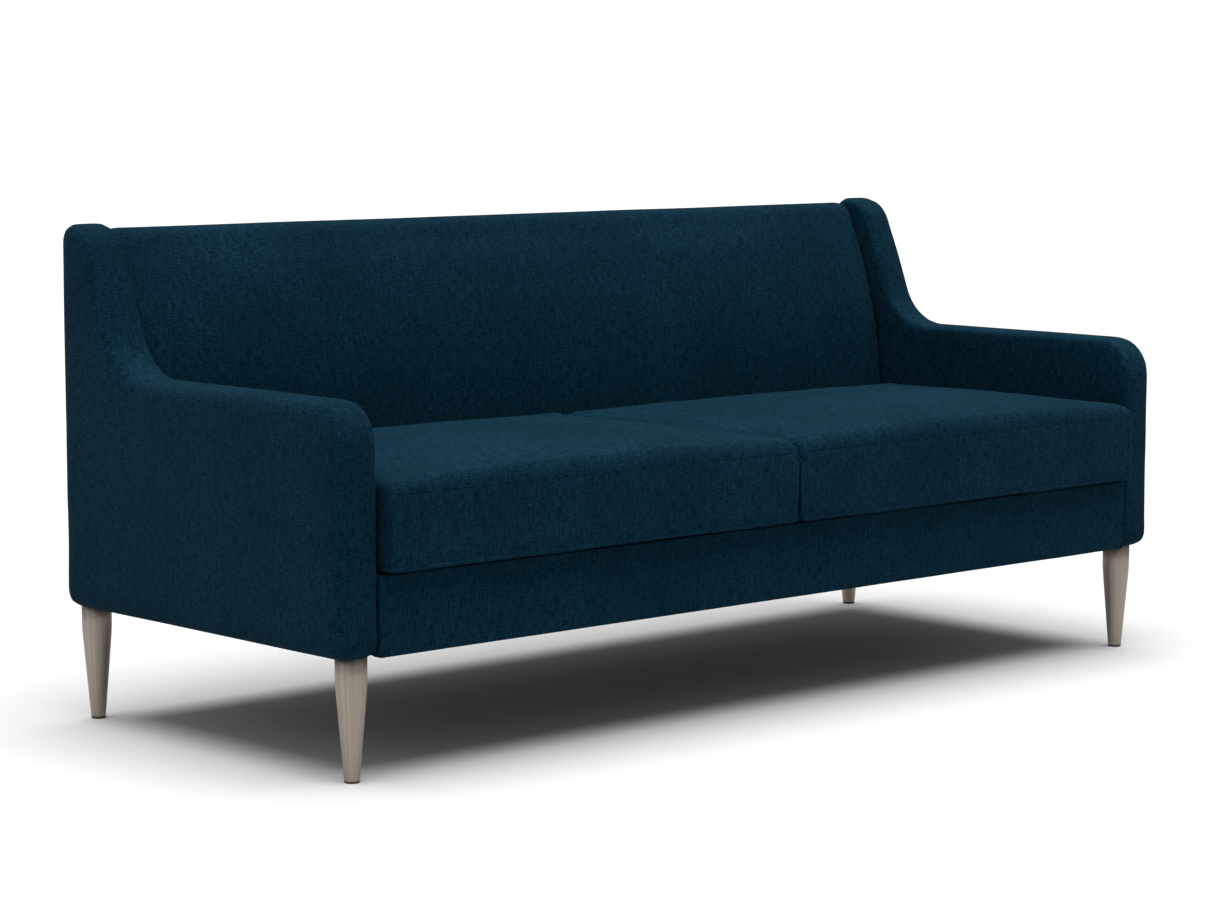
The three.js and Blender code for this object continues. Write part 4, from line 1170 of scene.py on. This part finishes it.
CAD_FINISHES = {
    "arm_frame": PLYWOOD, "back_gusset": PLYWOOD, "leg_plate": ZINC, "leg_bolt": ZINC,
    "front_rail": PINE_X, "spring_rail": PINE_X, "rear_rail": PINE_X, "back_bottom_rail": PINE_X,
    "back_top_rail": PINE_X, "centre_rail": PINE_Y, "side_rail": PINE_Y,
    "seat_spring": SPRING_STEEL, "pawl_spring": SPRING_STEEL, "back_web": BLACK_CLOTH,
    "hinge_plate": ZINC, "hinge_pin": ZINC, "hinge_lever": ZINC, "pawl_pin": ZINC, "pawl": ZINC,
}


def finish_cad_nodes():
    """Gives every CAD node that still shows its own finish."""
    for name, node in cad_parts.items():
        if node.hide_render:
            continue
        stem = max((s for s in CAD_FINISHES if name.startswith(s)), key=len)
        node.data.materials.clear()
        node.data.materials.append(CAD_FINISHES[stem])


# ---- Stage -----------------------------------------------------------------------------

FLOOR_HALF = 60.0
CAMERA_PLACE = (-3.8867, -4.2025, 1.0532)
CAMERA_TURN = (90 - 6.5, 0, -42.13)      # degrees
CAMERA_LENS = 97.0
ROOM_LIGHT = 0.32            # strength that lights the object; the camera itself sees plain white
SOFT_LIGHTS = (              # name, turn in degrees, strength, width across in degrees
    ("overhead", (4, 0, 0), 6.0, 64),
    ("left_fill", (0, -62, 0), 0.35, 60),
)


def stage():
    """A pale floor, a white room, soft light from above and the left, and the camera."""
    size = FLOOR_HALF
    floor = new_piece("floor", [(-size, -size, 0), (size, -size, 0), (size, size, 0),
                                (-size, size, 0)], [(0, 1, 2, 3)], smooth=False)
    pale = Finish("pale_floor", Base_Color=(0.50, 0.50, 0.50, 1), Roughness=0.9,
                  Specular_IOR_Level=0.1)
    floor.data.materials.append(pale.material)

    world = bpy.data.worlds.new("studio")
    bpy.context.scene.world = world
    world.use_nodes = True
    nodes = world.node_tree.nodes
    nodes["Background"].inputs["Color"].default_value = (1, 1, 1, 1)
    seen = nodes.new("ShaderNodeLightPath")
    level = nodes.new("ShaderNodeMix")
    level.inputs["A"].default_value, level.inputs["B"].default_value = ROOM_LIGHT, 1.0
    world.node_tree.links.new(seen.outputs["Is Camera Ray"], level.inputs["Factor"])
    world.node_tree.links.new(level.outputs["Result"], nodes["Background"].inputs["Strength"])

    for name, turn, strength, spread in SOFT_LIGHTS:
        light = bpy.data.lights.new(name, "SUN")
        light.energy, light.angle = strength, math.radians(spread)
        lamp = bpy.data.objects.new(name, light)
        lamp.rotation_euler = Euler([math.radians(a) for a in turn])
        bpy.context.scene.collection.objects.link(lamp)

    camera_data = bpy.data.cameras.new("camera")
    camera_data.sensor_width = 36
    camera_data.lens = CAMERA_LENS
    camera_data.clip_end = 100
    camera = bpy.data.objects.new("camera", camera_data)
    camera.location = CAMERA_PLACE
    camera.rotation_euler = Euler([math.radians(a) for a in CAMERA_TURN])
    bpy.context.scene.collection.objects.link(camera)
    bpy.context.scene.camera = camera
    bpy.context.scene.view_settings.view_transform = "Standard"


stage()
right_arm, right_cushion = swollen_arm(), swollen_cushion()
ARMS = {"left": mirror_twin(right_arm, "arm_upholstery_left"), "right": right_arm}
CUSHIONS = {"left": mirror_twin(right_cushion, "seat_cushion_left"), "right": right_cushion}
for side, sign in SIDES:
    finish_arm(ARMS[side], side, sign)
    finish_cushion(CUSHIONS[side], side, sign)
    for end in ENDS:
        leg(end, side)
back()
apron("front_apron_cover", "front_apron", "front_rail", seed=41.0)
apron("rear_apron_cover", "rear_apron", "rear_rail", seed=47.0)
deck()
dust_cover()
hinge_screws()
finish_cad_nodes()
